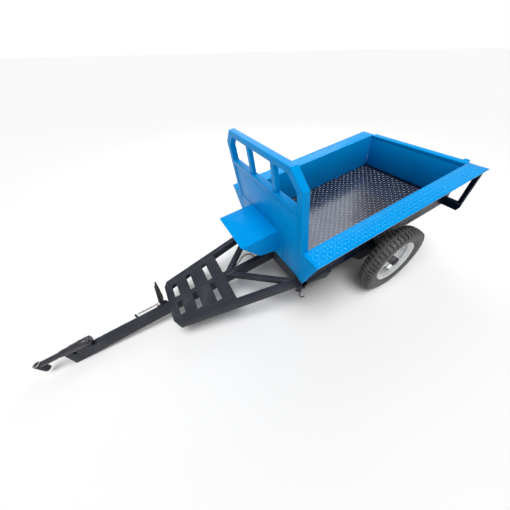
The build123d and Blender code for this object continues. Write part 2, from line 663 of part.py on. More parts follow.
def sleeve_saddle():
    """Rib between the drawbar's top and the rear of the swivel sleeve."""
    half = DRAWBAR_WIDTH / 2
    front = SLEEVE_REAR_X + SLEEVE_LENGTH - SLEEVE_STEPS[-1][0] - SADDLE_HEIGHT
    rib = block((SLEEVE_REAR_X, front), (-half, half), (DRAWBAR_TOP, SWIVEL_Z - NOSE_TOP_DROP))
    return rib - sleeve_room()


def sleeve_room():
    """Stepped cylinder that the swivel sleeve fills, without its bore."""
    start = SLEEVE_REAR_X
    room = None
    for length, radius in SLEEVE_STEPS:
        step = rod_x((start, start + length), 0, SWIVEL_Z, radius)
        room = step if room is None else room + step
        start += length
    return room


def swivel_sleeve():
    """Turned sleeve in which the tow eye's rod swivels."""
    x = (SLEEVE_REAR_X, SLEEVE_REAR_X + SLEEVE_LENGTH)
    return sleeve_room() - rod_x(x, 0, SWIVEL_Z, SWIVEL_ROD_R + RUNNING_FIT)


def swivel_rod():
    """Rod of the tow eye, with the collar that runs against the sleeve's front."""
    rear = SLEEVE_REAR_X - END_PLAY - SWIVEL_NUT_LENGTH - SWIVEL_ROD_END
    front_face = SLEEVE_REAR_X + SLEEVE_LENGTH + END_PLAY
    rod = rod_x((rear, EYE_X), 0, SWIVEL_Z, SWIVEL_ROD_R)
    collar = rod_x((front_face, front_face + SWIVEL_COLLAR_LENGTH), 0, SWIVEL_Z, SWIVEL_COLLAR_R)
    return rod + collar - Pos(EYE_X, 0, (EYE_TOP + EYE_BOTTOM) / 2) * Cylinder(EYE_OUTER_R, EYE_LENGTH)


def swivel_nut():
    """Nut on the rod's rear end."""
    face = SLEEVE_REAR_X - END_PLAY
    nut = Pos(face - SWIVEL_NUT_LENGTH, 0, SWIVEL_Z) * Rot(0, 90, 0) * hexagon(SWIVEL_NUT_SIZE, SWIVEL_NUT_LENGTH)
    return nut - rod_x((face - SWIVEL_NUT_LENGTH, face), 0, SWIVEL_Z, SWIVEL_ROD_R)


def tow_bush():
    """Upright bush that takes the hitch pin."""
    middle = (EYE_TOP + EYE_BOTTOM) / 2
    bush = Pos(EYE_X, 0, middle) * (Cylinder(EYE_OUTER_R, EYE_LENGTH) - Cylinder(EYE_BORE_R, EYE_LENGTH))
    rims = bush.edges().filter_by(GeomType.CIRCLE)
    return chamfer(rims, EYE_CHAMFER)


# ---------------------------------------------------------------- axle and wheels
def axle_beam():
    """Square tube across the cart."""
    half = AXLE_TUBE / 2
    y = (-AXLE_HALF_LENGTH, AXLE_HALF_LENGTH)
    return tube((AXLE_X - half, AXLE_X + half), y, (AXLE_Z - half, AXLE_Z + half), DRAWBAR_WALL, "Y")


def axle_brackets():
    """Plates on both faces of each longitudinal that hold the axle tube."""
    top = FRAME_BOTTOM + BRACKET_LAP
    foot = AXLE_Z - AXLE_TUBE / 2 - BRACKET_FOOT
    points = [(AXLE_X - BRACKET_TOP_HALF, FRAME_BOTTOM), (AXLE_X - BRACKET_TOP_HALF, top),
              (AXLE_X + BRACKET_TOP_HALF, top), (AXLE_X + BRACKET_TOP_HALF, FRAME_BOTTOM),
              (AXLE_X + BRACKET_FOOT_HALF, foot), (AXLE_X - BRACKET_FOOT_HALF, foot)]
    rear_limit = REAR_MEMBER_X + REAR_MEMBER_WIDTH
    half = AXLE_TUBE / 2
    window = block((AXLE_X - half, AXLE_X + half), (0, WHEEL_Y), (AXLE_Z - half, AXLE_Z + half))
    plates = []
    for inner in (LONGITUDINAL_OUTER - LONGITUDINAL_WIDTH - BRACKET_SHEET, LONGITUDINAL_OUTER):
        y = (inner, inner + BRACKET_SHEET)
        behind = block((TIP_X - BRACKET_TOP_HALF, rear_limit), y, (foot, top))
        plates += both_sides(side_view(points, y) - window - behind)
    return plates


def about_spindle(points, arcs=()):
    """Closed outline of (radius, offset) points, turned about the left wheel's axis.

    An arc replaces the run that leaves the point of its index, and passes through its own point.
    """
    bends = dict(arcs)
    at = [(AXLE_X + radius, WHEEL_Y + offset, AXLE_Z) for radius, offset in points]
    edges = []
    for index, start in enumerate(at):
        end = at[(index + 1) % len(at)]
        if index in bends:
            radius, offset = bends[index]
            edges.append(ThreePointArc(start, (AXLE_X + radius, WHEEL_Y + offset, AXLE_Z), end))
        else:
            edges.append(Line(start, end))
    axle = Axis((AXLE_X, WHEEL_Y, AXLE_Z), (0, 1, 0))
    return revolve(make_face(edges), axle)


def tyre():
    """Tyre carcass with its air space."""
    shoulder = TYRE_R - TREAD_SHOULDER_DROP
    bead = BEAD_SEAT_R + BEAD_GAP
    bead_face = RIM_HALF_WIDTH - RIM_SHEET - BEAD_GAP
    neck = RIM_FLANGE_R + TYRE_NECK_GAP
    bulge = (RIM_FLANGE_R + TYRE_R) / 2
    inner_side = TYRE_HALF_WIDTH - TYRE_WALL
    inner_edge = TREAD_HALF_WIDTH - TYRE_WALL
    inner_top = shoulder - TYRE_WALL
    toe = bead_face - TYRE_WALL
    points = [(bead, bead_face), (neck, bead_face), (shoulder, TREAD_HALF_WIDTH),
              (shoulder, -TREAD_HALF_WIDTH), (neck, -bead_face), (bead, -bead_face), (bead, -toe),
              (neck, -toe), (inner_top, -inner_edge), (inner_top, inner_edge), (neck, toe), (bead, toe)]
    arcs = {1: (bulge, TYRE_HALF_WIDTH), 2: (TYRE_R, 0), 3: (bulge, -TYRE_HALF_WIDTH),
            7: (bulge, -inner_side), 8: (TYRE_R - TYRE_WALL, 0), 9: (bulge, inner_side)}
    return about_spindle(points, arcs)


def rim():
    """Pressed rim with its disc, stud holes and valve hole."""
    half = RIM_HALF_WIDTH
    seat, sheet = BEAD_SEAT_R, RIM_SHEET
    well = RIM_WELL_HALF
    points = [(RIM_FLANGE_R, half), (RIM_FLANGE_R, half - sheet), (seat, half - sheet), (seat, well + sheet),
              (RIM_WELL_R, well), (RIM_WELL_R, -well), (seat, -well - sheet), (seat, sheet - half),
              (RIM_FLANGE_R, sheet - half), (RIM_FLANGE_R, -half), (seat - sheet, -half),
              (seat - sheet, -well - sheet), (RIM_WELL_R - sheet, -well), (RIM_WELL_R - sheet, well),
              (seat - sheet, well + sheet), (seat - sheet, half)]
    hoop = about_spindle(points)
    disc_inner = HUB_R + DISC_BORE_GAP
    low, high = DISC_OFFSET - sheet / 2, DISC_OFFSET + sheet / 2
    disc = about_spindle([(disc_inner, low), (RIM_WELL_R - sheet, low), (RIM_WELL_R - sheet, high), (disc_inner, high)])
    wheel = hoop + disc
    for x, z in stud_places():
        wheel -= rod_y(x, (WHEEL_Y - half, WHEEL_Y + half), z, STUD_R + STUD_HOLE_GAP)
    return wheel - rod_y(AXLE_X, (WHEEL_Y - half, WHEEL_Y + half), AXLE_Z - VALVE_CIRCLE_R, VALVE_R + STUD_HOLE_GAP)


def stud_places():
    """X and Z of each wheel stud."""
    turns = [2 * math.pi * (index + 0.5) / STUD_COUNT for index in range(STUD_COUNT)]
    return [(AXLE_X + STUD_CIRCLE_R * math.cos(turn), AXLE_Z + STUD_CIRCLE_R * math.sin(turn)) for turn in turns]


def hub():
    """Hub barrel with its flange against the wheel disc."""
    back = DISC_OFFSET - RIM_SHEET / 2
    bearing_in, bearing_out = HUB_INNER + BEARING_INSET + BEARING_WIDTH, HUB_OUTER - BEARING_INSET - BEARING_WIDTH
    points = [(BEARING_R, HUB_INNER), (HUB_R + HUB_NECK, HUB_INNER), (HUB_R + HUB_NECK, back - HUB_FLANGE_SHEET),
              (HUB_FLANGE_R, back - HUB_FLANGE_SHEET), (HUB_FLANGE_R, back), (HUB_R, back),
              (HUB_R, HUB_OUTER), (BEARING_R, HUB_OUTER), (BEARING_R, bearing_out), (HUB_BORE_R, bearing_out),
              (HUB_BORE_R, bearing_in), (BEARING_R, bearing_in)]
    body = about_spindle(points)
    for x, z in stud_places():
        body -= rod_y(x, (WHEEL_Y + back - HUB_FLANGE_SHEET, WHEEL_Y + back), z, STUD_R + STUD_HOLE_GAP)
    return body


def bearings():
    """Inner and outer wheel bearings."""
    rings = []
    for start in (HUB_INNER + BEARING_INSET, HUB_OUTER - BEARING_INSET - BEARING_WIDTH):
        bore = SPINDLE_R + RUNNING_FIT
        end = start + BEARING_WIDTH
        rings.append(about_spindle([(bore, start), (BEARING_R, start), (BEARING_R, end), (bore, end)]))
    return rings


def wheel_nuts():
    """Wheel studs, each with its nut on the disc."""
    disc_face = WHEEL_Y + DISC_OFFSET + RIM_SHEET / 2
    back = WHEEL_Y + DISC_OFFSET - RIM_SHEET / 2 - HUB_FLANGE_SHEET
    bolts = []
    for x, z in stud_places():
        nut = Pos(x, disc_face, z) * Rot(-90, 0, 0) * hexagon(WHEEL_NUT_SIZE, WHEEL_NUT_HEIGHT)
        head = rod_y(x, (back - RIM_SHEET, back), z, STUD_R + RIM_SHEET / 2)
        shank = rod_y(x, (back, disc_face + WHEEL_NUT_HEIGHT + STUD_END), z, STUD_R)
        bolts.append(nut + head + shank)
    return bolts


def hub_cap():
    """Domed cap over the spindle's end."""
    end = HUB_OUTER + HUB_CAP_LENGTH
    outer, wall = HUB_R, HUB_CAP_SHEET
    points = [(0, end), (0, end - wall), (outer - wall - HUB_CAP_CORNER, end - wall), (outer - wall, end - wall - HUB_CAP_CORNER),
              (outer - wall, HUB_OUTER), (outer, HUB_OUTER), (outer, end - HUB_CAP_CORNER), (outer - HUB_CAP_CORNER, end)]
    return about_spindle(points)


def valve():
    """Valve stem through the wheel disc."""
    start = WHEEL_Y + DISC_OFFSET - VALVE_LENGTH / 3
    stem = rod_y(AXLE_X, (start, start + VALVE_LENGTH), AXLE_Z - VALVE_CIRCLE_R, VALVE_R)
    face = WHEEL_Y + DISC_OFFSET + RIM_SHEET / 2
    return stem + rod_y(AXLE_X, (face, face + VALVE_FOOT_LENGTH), AXLE_Z - VALVE_CIRCLE_R, VALVE_R + VALVE_FOOT)


def spindles():
    """Spindles welded into the axle tube's ends, each with its castle nut."""
    beam_end = AXLE_HALF_LENGTH
    seat = WHEEL_Y + HUB_INNER - END_PLAY
    thread = WHEEL_Y + HUB_OUTER - HUB_CAP_SHEET
    shoulder = rod_y(AXLE_X, (beam_end, seat), AXLE_Z, SPINDLE_SHOULDER_R)
    journal = rod_y(AXLE_X, (seat, thread), AXLE_Z, SPINDLE_R)
    nut_height = SPINDLE_NUT_HEIGHT
    nut = Pos(AXLE_X, thread, AXLE_Z) * Rot(-90, 0, 0) * hexagon(SPINDLE_NUT_SIZE, nut_height)
    end = rod_y(AXLE_X, (thread, thread + nut_height + SPINDLE_END), AXLE_Z, SPINDLE_THREAD_R)
    flange_half = AXLE_TUBE / 2
    plate = block((AXLE_X - flange_half, AXLE_X + flange_half), (beam_end, beam_end + RIM_SHEET),
                  (AXLE_Z - flange_half, AXLE_Z + flange_half))
    return both_sides(plate + shoulder + journal + nut + end)


# ---------------------------------------------------------------- tailgate
def tailgate_panel():
    """Flat sheet that closes the tray's rear."""
    x = (GATE_INNER_X - SHEET, GATE_INNER_X)
    return block(x, (-GATE_HALF_WIDTH, GATE_HALF_WIDTH), (GATE_LIFT + GATE_STRAP_SHEET, WALL_HEIGHT - GATE_RAIL))


def tailgate_rails():
    """Top and bottom tubes of the tailgate."""
    y = (-GATE_HALF_WIDTH, GATE_HALF_WIDTH)
    top = tube((GATE_INNER_X - GATE_TOP_WIDTH, GATE_INNER_X), y, (WALL_HEIGHT - GATE_RAIL, WALL_HEIGHT), SHEET, "Y")
    foot = GATE_LIFT + GATE_STRAP_SHEET
    bottom = tube((GATE_INNER_X - SHEET - GATE_RAIL + GATE_FOOT_SETBACK, GATE_INNER_X - SHEET), y, (foot, foot + GATE_RAIL), SHEET, "Y")
    return [top, bottom]


def tailgate_tab():
    """Pull tab behind the left end of the top rail."""
    rear = GATE_INNER_X - GATE_TOP_WIDTH
    y = (GATE_HALF_WIDTH - GATE_TAB_WIDTH - GATE_TAB_INSET, GATE_HALF_WIDTH - GATE_TAB_INSET)
    tab = block((rear - GATE_TAB_REACH, rear), y, (WALL_HEIGHT - GATE_TAB_SHEET, WALL_HEIGHT))
    outer = tab.edges().filter_by(Axis.Z).group_by(Axis.X)[0]
    return fillet(outer, GATE_TAB_ROUNDING)


def hinge_places():
    """Middle of each tailgate hinge along Y."""
    return (-GATE_HINGE_SPACING, 0.0, GATE_HINGE_SPACING)


def tailgate_straps():
    """Hinge leaves under the tailgate, each ending in a knuckle behind the rear beam."""
    half = GATE_KNUCKLE_LENGTH / 2
    straps = []
    for middle in hinge_places():
        y = (middle - half, middle + half)
        leaf = block((GATE_HINGE_X, GATE_INNER_X), y, (GATE_LIFT, GATE_LIFT + GATE_STRAP_SHEET))
        link = block((GATE_HINGE_X - GATE_KNUCKLE_R, GATE_HINGE_X), y, (GATE_HINGE_Z, GATE_LIFT + GATE_STRAP_SHEET))
        knuckle = rod_y(GATE_HINGE_X, y, GATE_HINGE_Z, GATE_KNUCKLE_R)
        straps.append(leaf + link + knuckle - rod_y(GATE_HINGE_X, y, GATE_HINGE_Z, GATE_PIN_R + RUNNING_FIT))
    return straps


def tailgate_pins():
    """Hinge pins, each held at both ends by a knuckle welded to the rear beam."""
    half = GATE_KNUCKLE_LENGTH / 2
    pins = []
    for middle in hinge_places():
        ends = (middle - 1.5 * GATE_KNUCKLE_LENGTH, middle + 1.5 * GATE_KNUCKLE_LENGTH)
        pin = rod_y(GATE_HINGE_X, ends, GATE_HINGE_Z, GATE_PIN_R)
        for y in ((ends[0], middle - half - END_PLAY), (middle + half + END_PLAY, ends[1])):
            foot = block((GATE_HINGE_X, -TRAY_LENGTH), y, (GATE_HINGE_Z - GATE_KNUCKLE_R, GATE_HINGE_Z))
            pin = pin + rod_y(GATE_HINGE_X, y, GATE_HINGE_Z, GATE_KNUCKLE_R) + foot
        pins.append(pin)
    return pins


# ---------------------------------------------------------------- brake pedal
def pedal_plane():
    """Y limits of the pedal arm, outside its bracket on the drawbar's right face."""
    near = -DRAWBAR_WIDTH / 2 - PEDAL_BRACKET_SHEET - END_PLAY
    return (near - PEDAL_ARM_SHEET, near)


def pedal_bracket():
    """Plate on the drawbar's right face with the pedal's pivot pin."""
    face = -DRAWBAR_WIDTH / 2
    y = (face - PEDAL_BRACKET_SHEET, face)
    half = PEDAL_BRACKET_LENGTH / 2
    top = DRAWBAR_TOP + PEDAL_BRACKET_LAP
    spring_floor = PEDAL_PIVOT_Z - PEDAL_TAIL - SPRING_R - SPRING_GAP
    points = [(PEDAL_PIVOT_X - half, DRAWBAR_BOTTOM + PEDAL_BRACKET_RISE), (PEDAL_PIVOT_X + half, DRAWBAR_BOTTOM + PEDAL_BRACKET_RISE),
              (PEDAL_PIVOT_X + half, spring_floor), (PEDAL_PIVOT_X + PEDAL_ARM_WIDTH / 2, spring_floor),
              (PEDAL_PIVOT_X + PEDAL_ARM_WIDTH / 2, PEDAL_PIVOT_Z),
              (PEDAL_PIVOT_X - PEDAL_ARM_WIDTH / 2, PEDAL_PIVOT_Z), (PEDAL_PIVOT_X - half + PEDAL_BRACKET_STEP, top),
              (PEDAL_PIVOT_X - half + PEDAL_BRACKET_STEP, TRAY_UNDERSIDE - FRONT_ANGLE_DEPTH - PEDAL_BRACKET_LAP),
              (PEDAL_PIVOT_X - half, TRAY_UNDERSIDE - FRONT_ANGLE_DEPTH - PEDAL_BRACKET_LAP)]
    plate = side_view(points, y) + rod_y(PEDAL_PIVOT_X, y, PEDAL_PIVOT_Z, PEDAL_ARM_WIDTH / 2)
    arm_y = pedal_plane()
    pin = rod_y(PEDAL_PIVOT_X, (arm_y[0] - PEDAL_PIN_HEAD, face), PEDAL_PIVOT_Z, PEDAL_PIN_R)
    head = rod_y(PEDAL_PIVOT_X, (arm_y[0] - PEDAL_PIN_HEAD, arm_y[0] - END_PLAY), PEDAL_PIVOT_Z, PEDAL_PIN_R + PEDAL_PIN_FLANGE)
    return plate + pin + head


def pedal_arm():
    """Flat lever from the spring eye past the pivot to the pad."""
    y = pedal_plane()
    half = PEDAL_ARM_WIDTH / 2
    top_z = PEDAL_HEIGHT - PEDAL_PAD_LIP
    reach = PEDAL_PAD_SHEET
    points = [(PEDAL_PIVOT_X - half, PEDAL_PIVOT_Z), (PEDAL_FOOT_X + reach, PEDAL_FOOT_Z + 14.0),
              (PEDAL_TOP_X + reach + 2.4, top_z), (PEDAL_TOP_X + reach + half, top_z - 4.0),
              (PEDAL_PIVOT_X + half, PEDAL_PIVOT_Z)]
    eye_z = PEDAL_PIVOT_Z - PEDAL_TAIL
    tail = block((PEDAL_PIVOT_X - half, PEDAL_PIVOT_X + half), y, (eye_z, PEDAL_PIVOT_Z))
    lever = side_view(points, y) + rod_y(PEDAL_PIVOT_X, y, PEDAL_PIVOT_Z, half)
    lever = lever + tail + rod_y(PEDAL_PIVOT_X, y, eye_z, half)
    lever -= rod_y(PEDAL_PIVOT_X, y, PEDAL_PIVOT_Z, PEDAL_PIN_R + RUNNING_FIT)
    return lever - rod_y(PEDAL_PIVOT_X, y, eye_z, SPRING_R / 2)


def pedal_pad():
    """Tread plate of the pedal."""
    y = pedal_plane()
    middle = (y[0] + y[1]) / 2
    half = PEDAL_PAD_WIDTH / 2
    sheet = PEDAL_PAD_SHEET
    points = [(PEDAL_FOOT_X, PEDAL_FOOT_Z), (PEDAL_FOOT_X + sheet, PEDAL_FOOT_Z),
              (PEDAL_TOP_X + sheet, PEDAL_HEIGHT), (PEDAL_TOP_X, PEDAL_HEIGHT)]
    pad = side_view(points, (middle - half, middle + half))
    corners = pad.edges().filter_by(Axis.X, tolerance=20).group_by(Axis.Z)[-1]
    return fillet(corners, PEDAL_PAD_ROUNDING) - pedal_arm()


def pedal_spring():
    """Return spring from the pedal's tail to its anchor on the drawbar."""
    eye_z = PEDAL_PIVOT_Z - PEDAL_TAIL
    y = pedal_plane()
    middle = (y[0] + y[1]) / 2
    start = PEDAL_PIVOT_X + PEDAL_ARM_WIDTH / 2 + END_PLAY
    return rod_x((start, start + SPRING_LENGTH), middle, eye_z, SPRING_R)


def spring_anchor():
    """Post on the drawbar's side that holds the spring's front end."""
    eye_z = PEDAL_PIVOT_Z - PEDAL_TAIL
    y = pedal_plane()
    start = PEDAL_PIVOT_X + PEDAL_ARM_WIDTH / 2 + END_PLAY + SPRING_LENGTH
    return block((start, start + ANCHOR_SHEET), (y[0], -DRAWBAR_WIDTH / 2), (eye_z - ANCHOR_FOOT, eye_z + ANCHOR_SHEET))


def brake_cable():
    """Cable housing along the drawbar and under the tray to the axle."""
    points = [Vector(*point) for point in CABLE_ROUTE]
    radii = []
    for before, here, after in zip(points, points[1:], points[2:]):
        turn = math.radians((here - before).get_angle(after - here))
        radii.append(0.45 * min((here - before).length, (after - here).length) / math.tan(turn / 2))
    print("cable bend radii", [round(radius) for radius in radii])
    path = FilletPolyline(*points, radius=radii)
    profile = Plane(origin=points[0], z_dir=points[1] - points[0]) * Circle(CABLE_R)
    return sweep(profile, path=path)


def cable_stops():
    """Blocks that hold the two ends of the cable housing, on the drawbar and on the axle tube."""
    x, y, z = CABLE_ROUTE[0]
    front = block((x, x + CABLE_STOP_SHEET), (y - CABLE_STOP_HALF, -DRAWBAR_WIDTH / 2), (z - CABLE_STOP_HALF, z + CABLE_STOP_HALF))
    x, y, z = CABLE_ROUTE[-1]
    rear = block((AXLE_X + AXLE_TUBE / 2, x), (y - CABLE_STOP_HALF, y + CABLE_STOP_HALF), (z - CABLE_STOP_HALF, z + CABLE_STOP_HALF))
    return [front, rear]


# ---------------------------------------------------------------- latch hooks
def latch_lugs():
    """Lug on each side rail beside the tray's front corner, with the hook's pivot pin."""
    z = (LUG_Z - LUG_HALF_HEIGHT, LUG_Z + LUG_HALF_HEIGHT)
    y = (LUG_Y, LUG_Y + LUG_SHEET)
    straight = LUG_HALF_LENGTH - LUG_HALF_HEIGHT
    plate = block((-straight, straight), y, z)
    for x in (-straight, straight):
        plate = plate + rod_y(x, y, LUG_Z, LUG_HALF_HEIGHT)
    spacer = plan([(-LUG_SPACER_HALF, rail_outer(-LUG_SPACER_HALF)), (LUG_SPACER_HALF, rail_outer(LUG_SPACER_HALF)), (LUG_SPACER_HALF, LUG_Y), (-LUG_SPACER_HALF, LUG_Y)],
                  (z[0] + LUG_SPACER_INSET, z[1] - LUG_SPACER_INSET))
    outer = y[1] + 2 * HOOK_BAR_R + 2 * END_PLAY
    pin = rod_y(HOOK_PIN_X, (y[1], outer), LUG_Z, HOOK_PIN_R)
    head = rod_y(HOOK_PIN_X, (outer, outer + HOOK_PIN_HEAD), LUG_Z, HOOK_PIN_R + HOOK_PIN_FLANGE)
    stud = rod_y(-straight / 2, (y[1], y[1] + STUD_HEAD_LENGTH), LUG_Z, STUD_HEAD_R)
    return both_sides(plate + spacer + pin + head + stud)


def latch_hook():
    """Hook that hangs from the left lug's pin, its tail bent back."""
    y = LUG_Y + LUG_SHEET + END_PLAY + HOOK_BAR_R
    top = Vector(HOOK_PIN_X, y, LUG_Z - HOOK_EYE_R + HOOK_EYE_LAP)
    knee = Vector(HOOK_PIN_X, y, LUG_Z - HOOK_DROP)
    turn = math.radians(HOOK_BEND_ANGLE)
    half_turn = turn / 2
    tip = knee + HOOK_BEND_R * Vector(math.cos(turn) - 1, 0, -math.sin(turn))
    halfway = knee + HOOK_BEND_R * Vector(math.cos(half_turn) - 1, 0, -math.sin(half_turn))
    path = Line(top, knee) + ThreePointArc(knee, halfway, tip)
    bar = sweep(Plane(origin=top, z_dir=(0, 0, -1)) * Circle(HOOK_SHANK_R), path=path)
    eye = rod_y(HOOK_PIN_X, (y - HOOK_BAR_R, y + HOOK_BAR_R), LUG_Z, HOOK_EYE_R)
    hole = rod_y(HOOK_PIN_X, (y - HOOK_BAR_R, y + HOOK_BAR_R), LUG_Z, HOOK_PIN_R + RUNNING_FIT)
    return bar + eye - hole


# ---------------------------------------------------------------- assembly
def build_level():
    """Every node of the level cart, by name."""
    left_wheel = {"tyre": tyre(), "rim": rim(), "hub": hub(), "bearings": bearings(),
                  "wheel_nuts": wheel_nuts(), "hub_cap": hub_cap()}
    left_wheel["rim"] = solids_of(left_wheel["rim"]) + solids_of(valve())
    hook = latch_hook()
    nodes = {
        "tray_floor": tray_floor(), "side_walls": side_walls(), "side_flanges": side_flanges(),
        "front_corner_plates": front_corner_plates(), "tray_rails": tray_rails(),
        "tray_cross_members": tray_cross_members(), "rear_beam": rear_beam(),
        "rear_corner_posts": rear_corner_posts(), "tip_bushes": tip_bushes(),
        "headboard_posts": headboard_posts(), "headboard_top": headboard_top(),
        "headboard_dividers": headboard_dividers(), "headboard_ledge": headboard_ledge(),
        "front_sheet": front_sheet(), "lower_front_sheet": lower_front_sheet(),
        "seat_plate": seat_plate(), "seat_sides": seat_sides(),
        "side_rails": side_rails(), "footplate": footplate(), "footplate_front_angle": footplate_front_angle(),
        "braces": braces(), "front_cross_member": front_cross_member(),
        "frame_cross_members": frame_cross_members(), "longitudinals": longitudinals(),
        "tip_hinge_lugs": tip_hinge_lugs() + tip_hinge_pins(),
        "drawbar": drawbar(), "hitch_nose": [hitch_nose(), sleeve_saddle()],
        "swivel_sleeve": swivel_sleeve(), "swivel_rod": swivel_rod(), "swivel_nut": swivel_nut(),
        "tow_bush": tow_bush(), "axle_beam": axle_beam(), "axle_brackets": axle_brackets(),
        "spindles": spindles(), "tailgate_panel": tailgate_panel(), "tailgate_rails": tailgate_rails(),
        "tailgate_tab": tailgate_tab(), "tailgate_straps": tailgate_straps(), "tailgate_pins": tailgate_pins(),
        "pedal_bracket": pedal_bracket(), "pedal_arm": pedal_arm(), "pedal_pad": pedal_pad(),
        "pedal_spring": pedal_spring(), "cable_stops": [spring_anchor()] + cable_stops(),
        "brake_cable": brake_cable(), "latch_lugs": latch_lugs(),
        "left_latch_hook": hook, "right_latch_hook": mirror(hook, Plane.XZ),
    }
    for piece, shape in left_wheel.items():
        solids = solids_of(shape)
        nodes["left_" + piece] = solids
        nodes["right_" + piece] = [mirror(solid, Plane.XZ) for solid in solids]
    return nodes


def rest_location(level_nodes):
    """Turn and shift that stand the level cart on the ground, its box centred on the origin."""
    turn = Location((0, 0, 0), (0, nose_down_angle(), 0))
    stood = Compound([turn * solid for shape in level_nodes.values() for solid in solids_of(shape)])
    box = stood.bounding_box()
    shift = Location((-(box.min.X + box.max.X) / 2, -(box.min.Y + box.max.Y) / 2, -box.min.Z))
    return shift * turn


def write_parts(level_nodes, location):
    """One STEP file for each node, in the standing cart's place."""
    os.makedirs("parts", exist_ok=True)
    for name, shape in level_nodes.items():
        placed = [location * solid for solid in solids_of(shape)]
        export_step(placed[0] if len(placed) == 1 else Compound(placed), "parts/" + name + ".step")


LEVEL_NODES = build_level()
REST = rest_location(LEVEL_NODES)

if __name__ == "__main__":
    write_parts(LEVEL_NODES, REST)
    print("nodes", len(LEVEL_NODES), "nose down", round(nose_down_angle(), 3), "rest", REST)
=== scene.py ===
import json
import logging
import math
import random
from contextlib import contextmanager
from dataclasses import dataclass, field
from enum import Enum
from typing import Any, Callable, Iterable, Iterator, Optional, Sequence

import bpy
from mathutils import Euler, Matrix, Vector

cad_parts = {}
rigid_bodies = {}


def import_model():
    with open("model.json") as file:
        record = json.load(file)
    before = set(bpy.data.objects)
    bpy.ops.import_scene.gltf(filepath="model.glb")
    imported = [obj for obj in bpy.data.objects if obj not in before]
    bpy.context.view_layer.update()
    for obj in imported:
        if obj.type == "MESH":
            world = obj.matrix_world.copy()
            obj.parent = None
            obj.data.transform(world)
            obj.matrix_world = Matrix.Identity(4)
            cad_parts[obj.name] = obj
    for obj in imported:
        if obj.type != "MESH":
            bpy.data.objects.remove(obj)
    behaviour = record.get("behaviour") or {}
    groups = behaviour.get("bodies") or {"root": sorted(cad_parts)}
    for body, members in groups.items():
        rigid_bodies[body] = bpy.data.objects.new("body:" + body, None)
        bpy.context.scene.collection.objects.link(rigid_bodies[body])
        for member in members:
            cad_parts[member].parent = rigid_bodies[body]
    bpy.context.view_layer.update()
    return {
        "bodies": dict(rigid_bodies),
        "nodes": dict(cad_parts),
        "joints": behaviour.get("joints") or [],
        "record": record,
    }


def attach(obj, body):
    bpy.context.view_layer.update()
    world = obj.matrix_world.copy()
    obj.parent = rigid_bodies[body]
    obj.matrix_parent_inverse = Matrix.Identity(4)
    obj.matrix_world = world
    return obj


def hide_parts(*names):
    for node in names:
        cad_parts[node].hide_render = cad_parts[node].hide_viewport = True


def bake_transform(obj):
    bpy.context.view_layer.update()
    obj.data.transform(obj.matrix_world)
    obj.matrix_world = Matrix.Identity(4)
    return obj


log = logging.getLogger("cart")
Box = tuple[Vector, Vector]
Point = tuple[float, float, float]
Colour = tuple[float, float, float]
Run = tuple[Any, ...]       # a bead's start and end in the level frame, and its size if not the usual
MERGE_GAP = 1e-5            # vertices this close are one vertex
FLAT_ANGLE = math.radians(0.6)
SMOOTH_ANGLE = math.radians(38)
ROUND_ANGLE = math.radians(60)      # beads, lugs and wire
TREAD_ANGLE = math.radians(32)
CORNER_GAP = MERGE_GAP * 5          # vertices this close to a corner are at it
LEVEL_GAP = MERGE_GAP * 10          # points this close in height are level
FACING = 0.7                        # a face turned at least this much to a side looks that way


class Slot(Enum):
    """The record's material slots."""

    BLUE = "blue_paint"
    CHECKER = "blue_checker_plate"
    FLOOR = "floor_plate"
    BLACK = "black_paint"
    STEEL = "bare_steel"
    WHEEL = "wheel_paint"
    TYRE = "tyre_rubber"


class Body(Enum):
    """The cart's moving bodies."""

    CHASSIS = "chassis"
    TRAY = "tray"
    TAILGATE = "tailgate"
    EYE = "tow_eye"
    PEDAL = "brake_pedal"


# ---------------------------------------------------------------- shader sheets
class Value:
    """A number that varies over a surface, with the sums that the finishes use."""

    def __init__(self, sheet: "Sheet", socket: bpy.types.NodeSocket) -> None:
        """Keeps the sheet and the socket that the number comes out of."""
        self.sheet = sheet
        self.socket = socket

    def maths(self, operation: str, first: Any, second: Any) -> "Value":
        """Adds one Math node.

        Args:
            operation: The node's operation.
            first: Its first input, a Value or a number.
            second: Its second input, a Value or a number.

        Returns:
            The node's result.
        """
        node = self.sheet.node("ShaderNodeMath", {"operation": operation}, {0: first, 1: second})
        return Value(self.sheet, node.outputs[0])

    def __add__(self, other: Any) -> "Value":
        """Sum."""
        return self.maths("ADD", self, other)

    def __sub__(self, other: Any) -> "Value":
        """Difference."""
        return self.maths("SUBTRACT", self, other)

    def __rsub__(self, other: Any) -> "Value":
        """Difference from a number."""
        return self.maths("SUBTRACT", other, self)

    def __mul__(self, other: Any) -> "Value":
        """Product."""
        return self.maths("MULTIPLY", self, other)

    __radd__ = __add__
    __rmul__ = __mul__

    def most(self, other: Any) -> "Value":
        """The greater of this and another."""
        return self.maths("MAXIMUM", self, other)

    def spread(self, low: float, high: float) -> "Value":
        """Stretches the range from low to high over nought to one, and clamps it."""
        node = self.sheet.node("ShaderNodeMapRange", {"clamp": True},
                               {"Value": self, "From Min": low, "From Max": high})
        return Value(self.sheet, node.outputs[0])


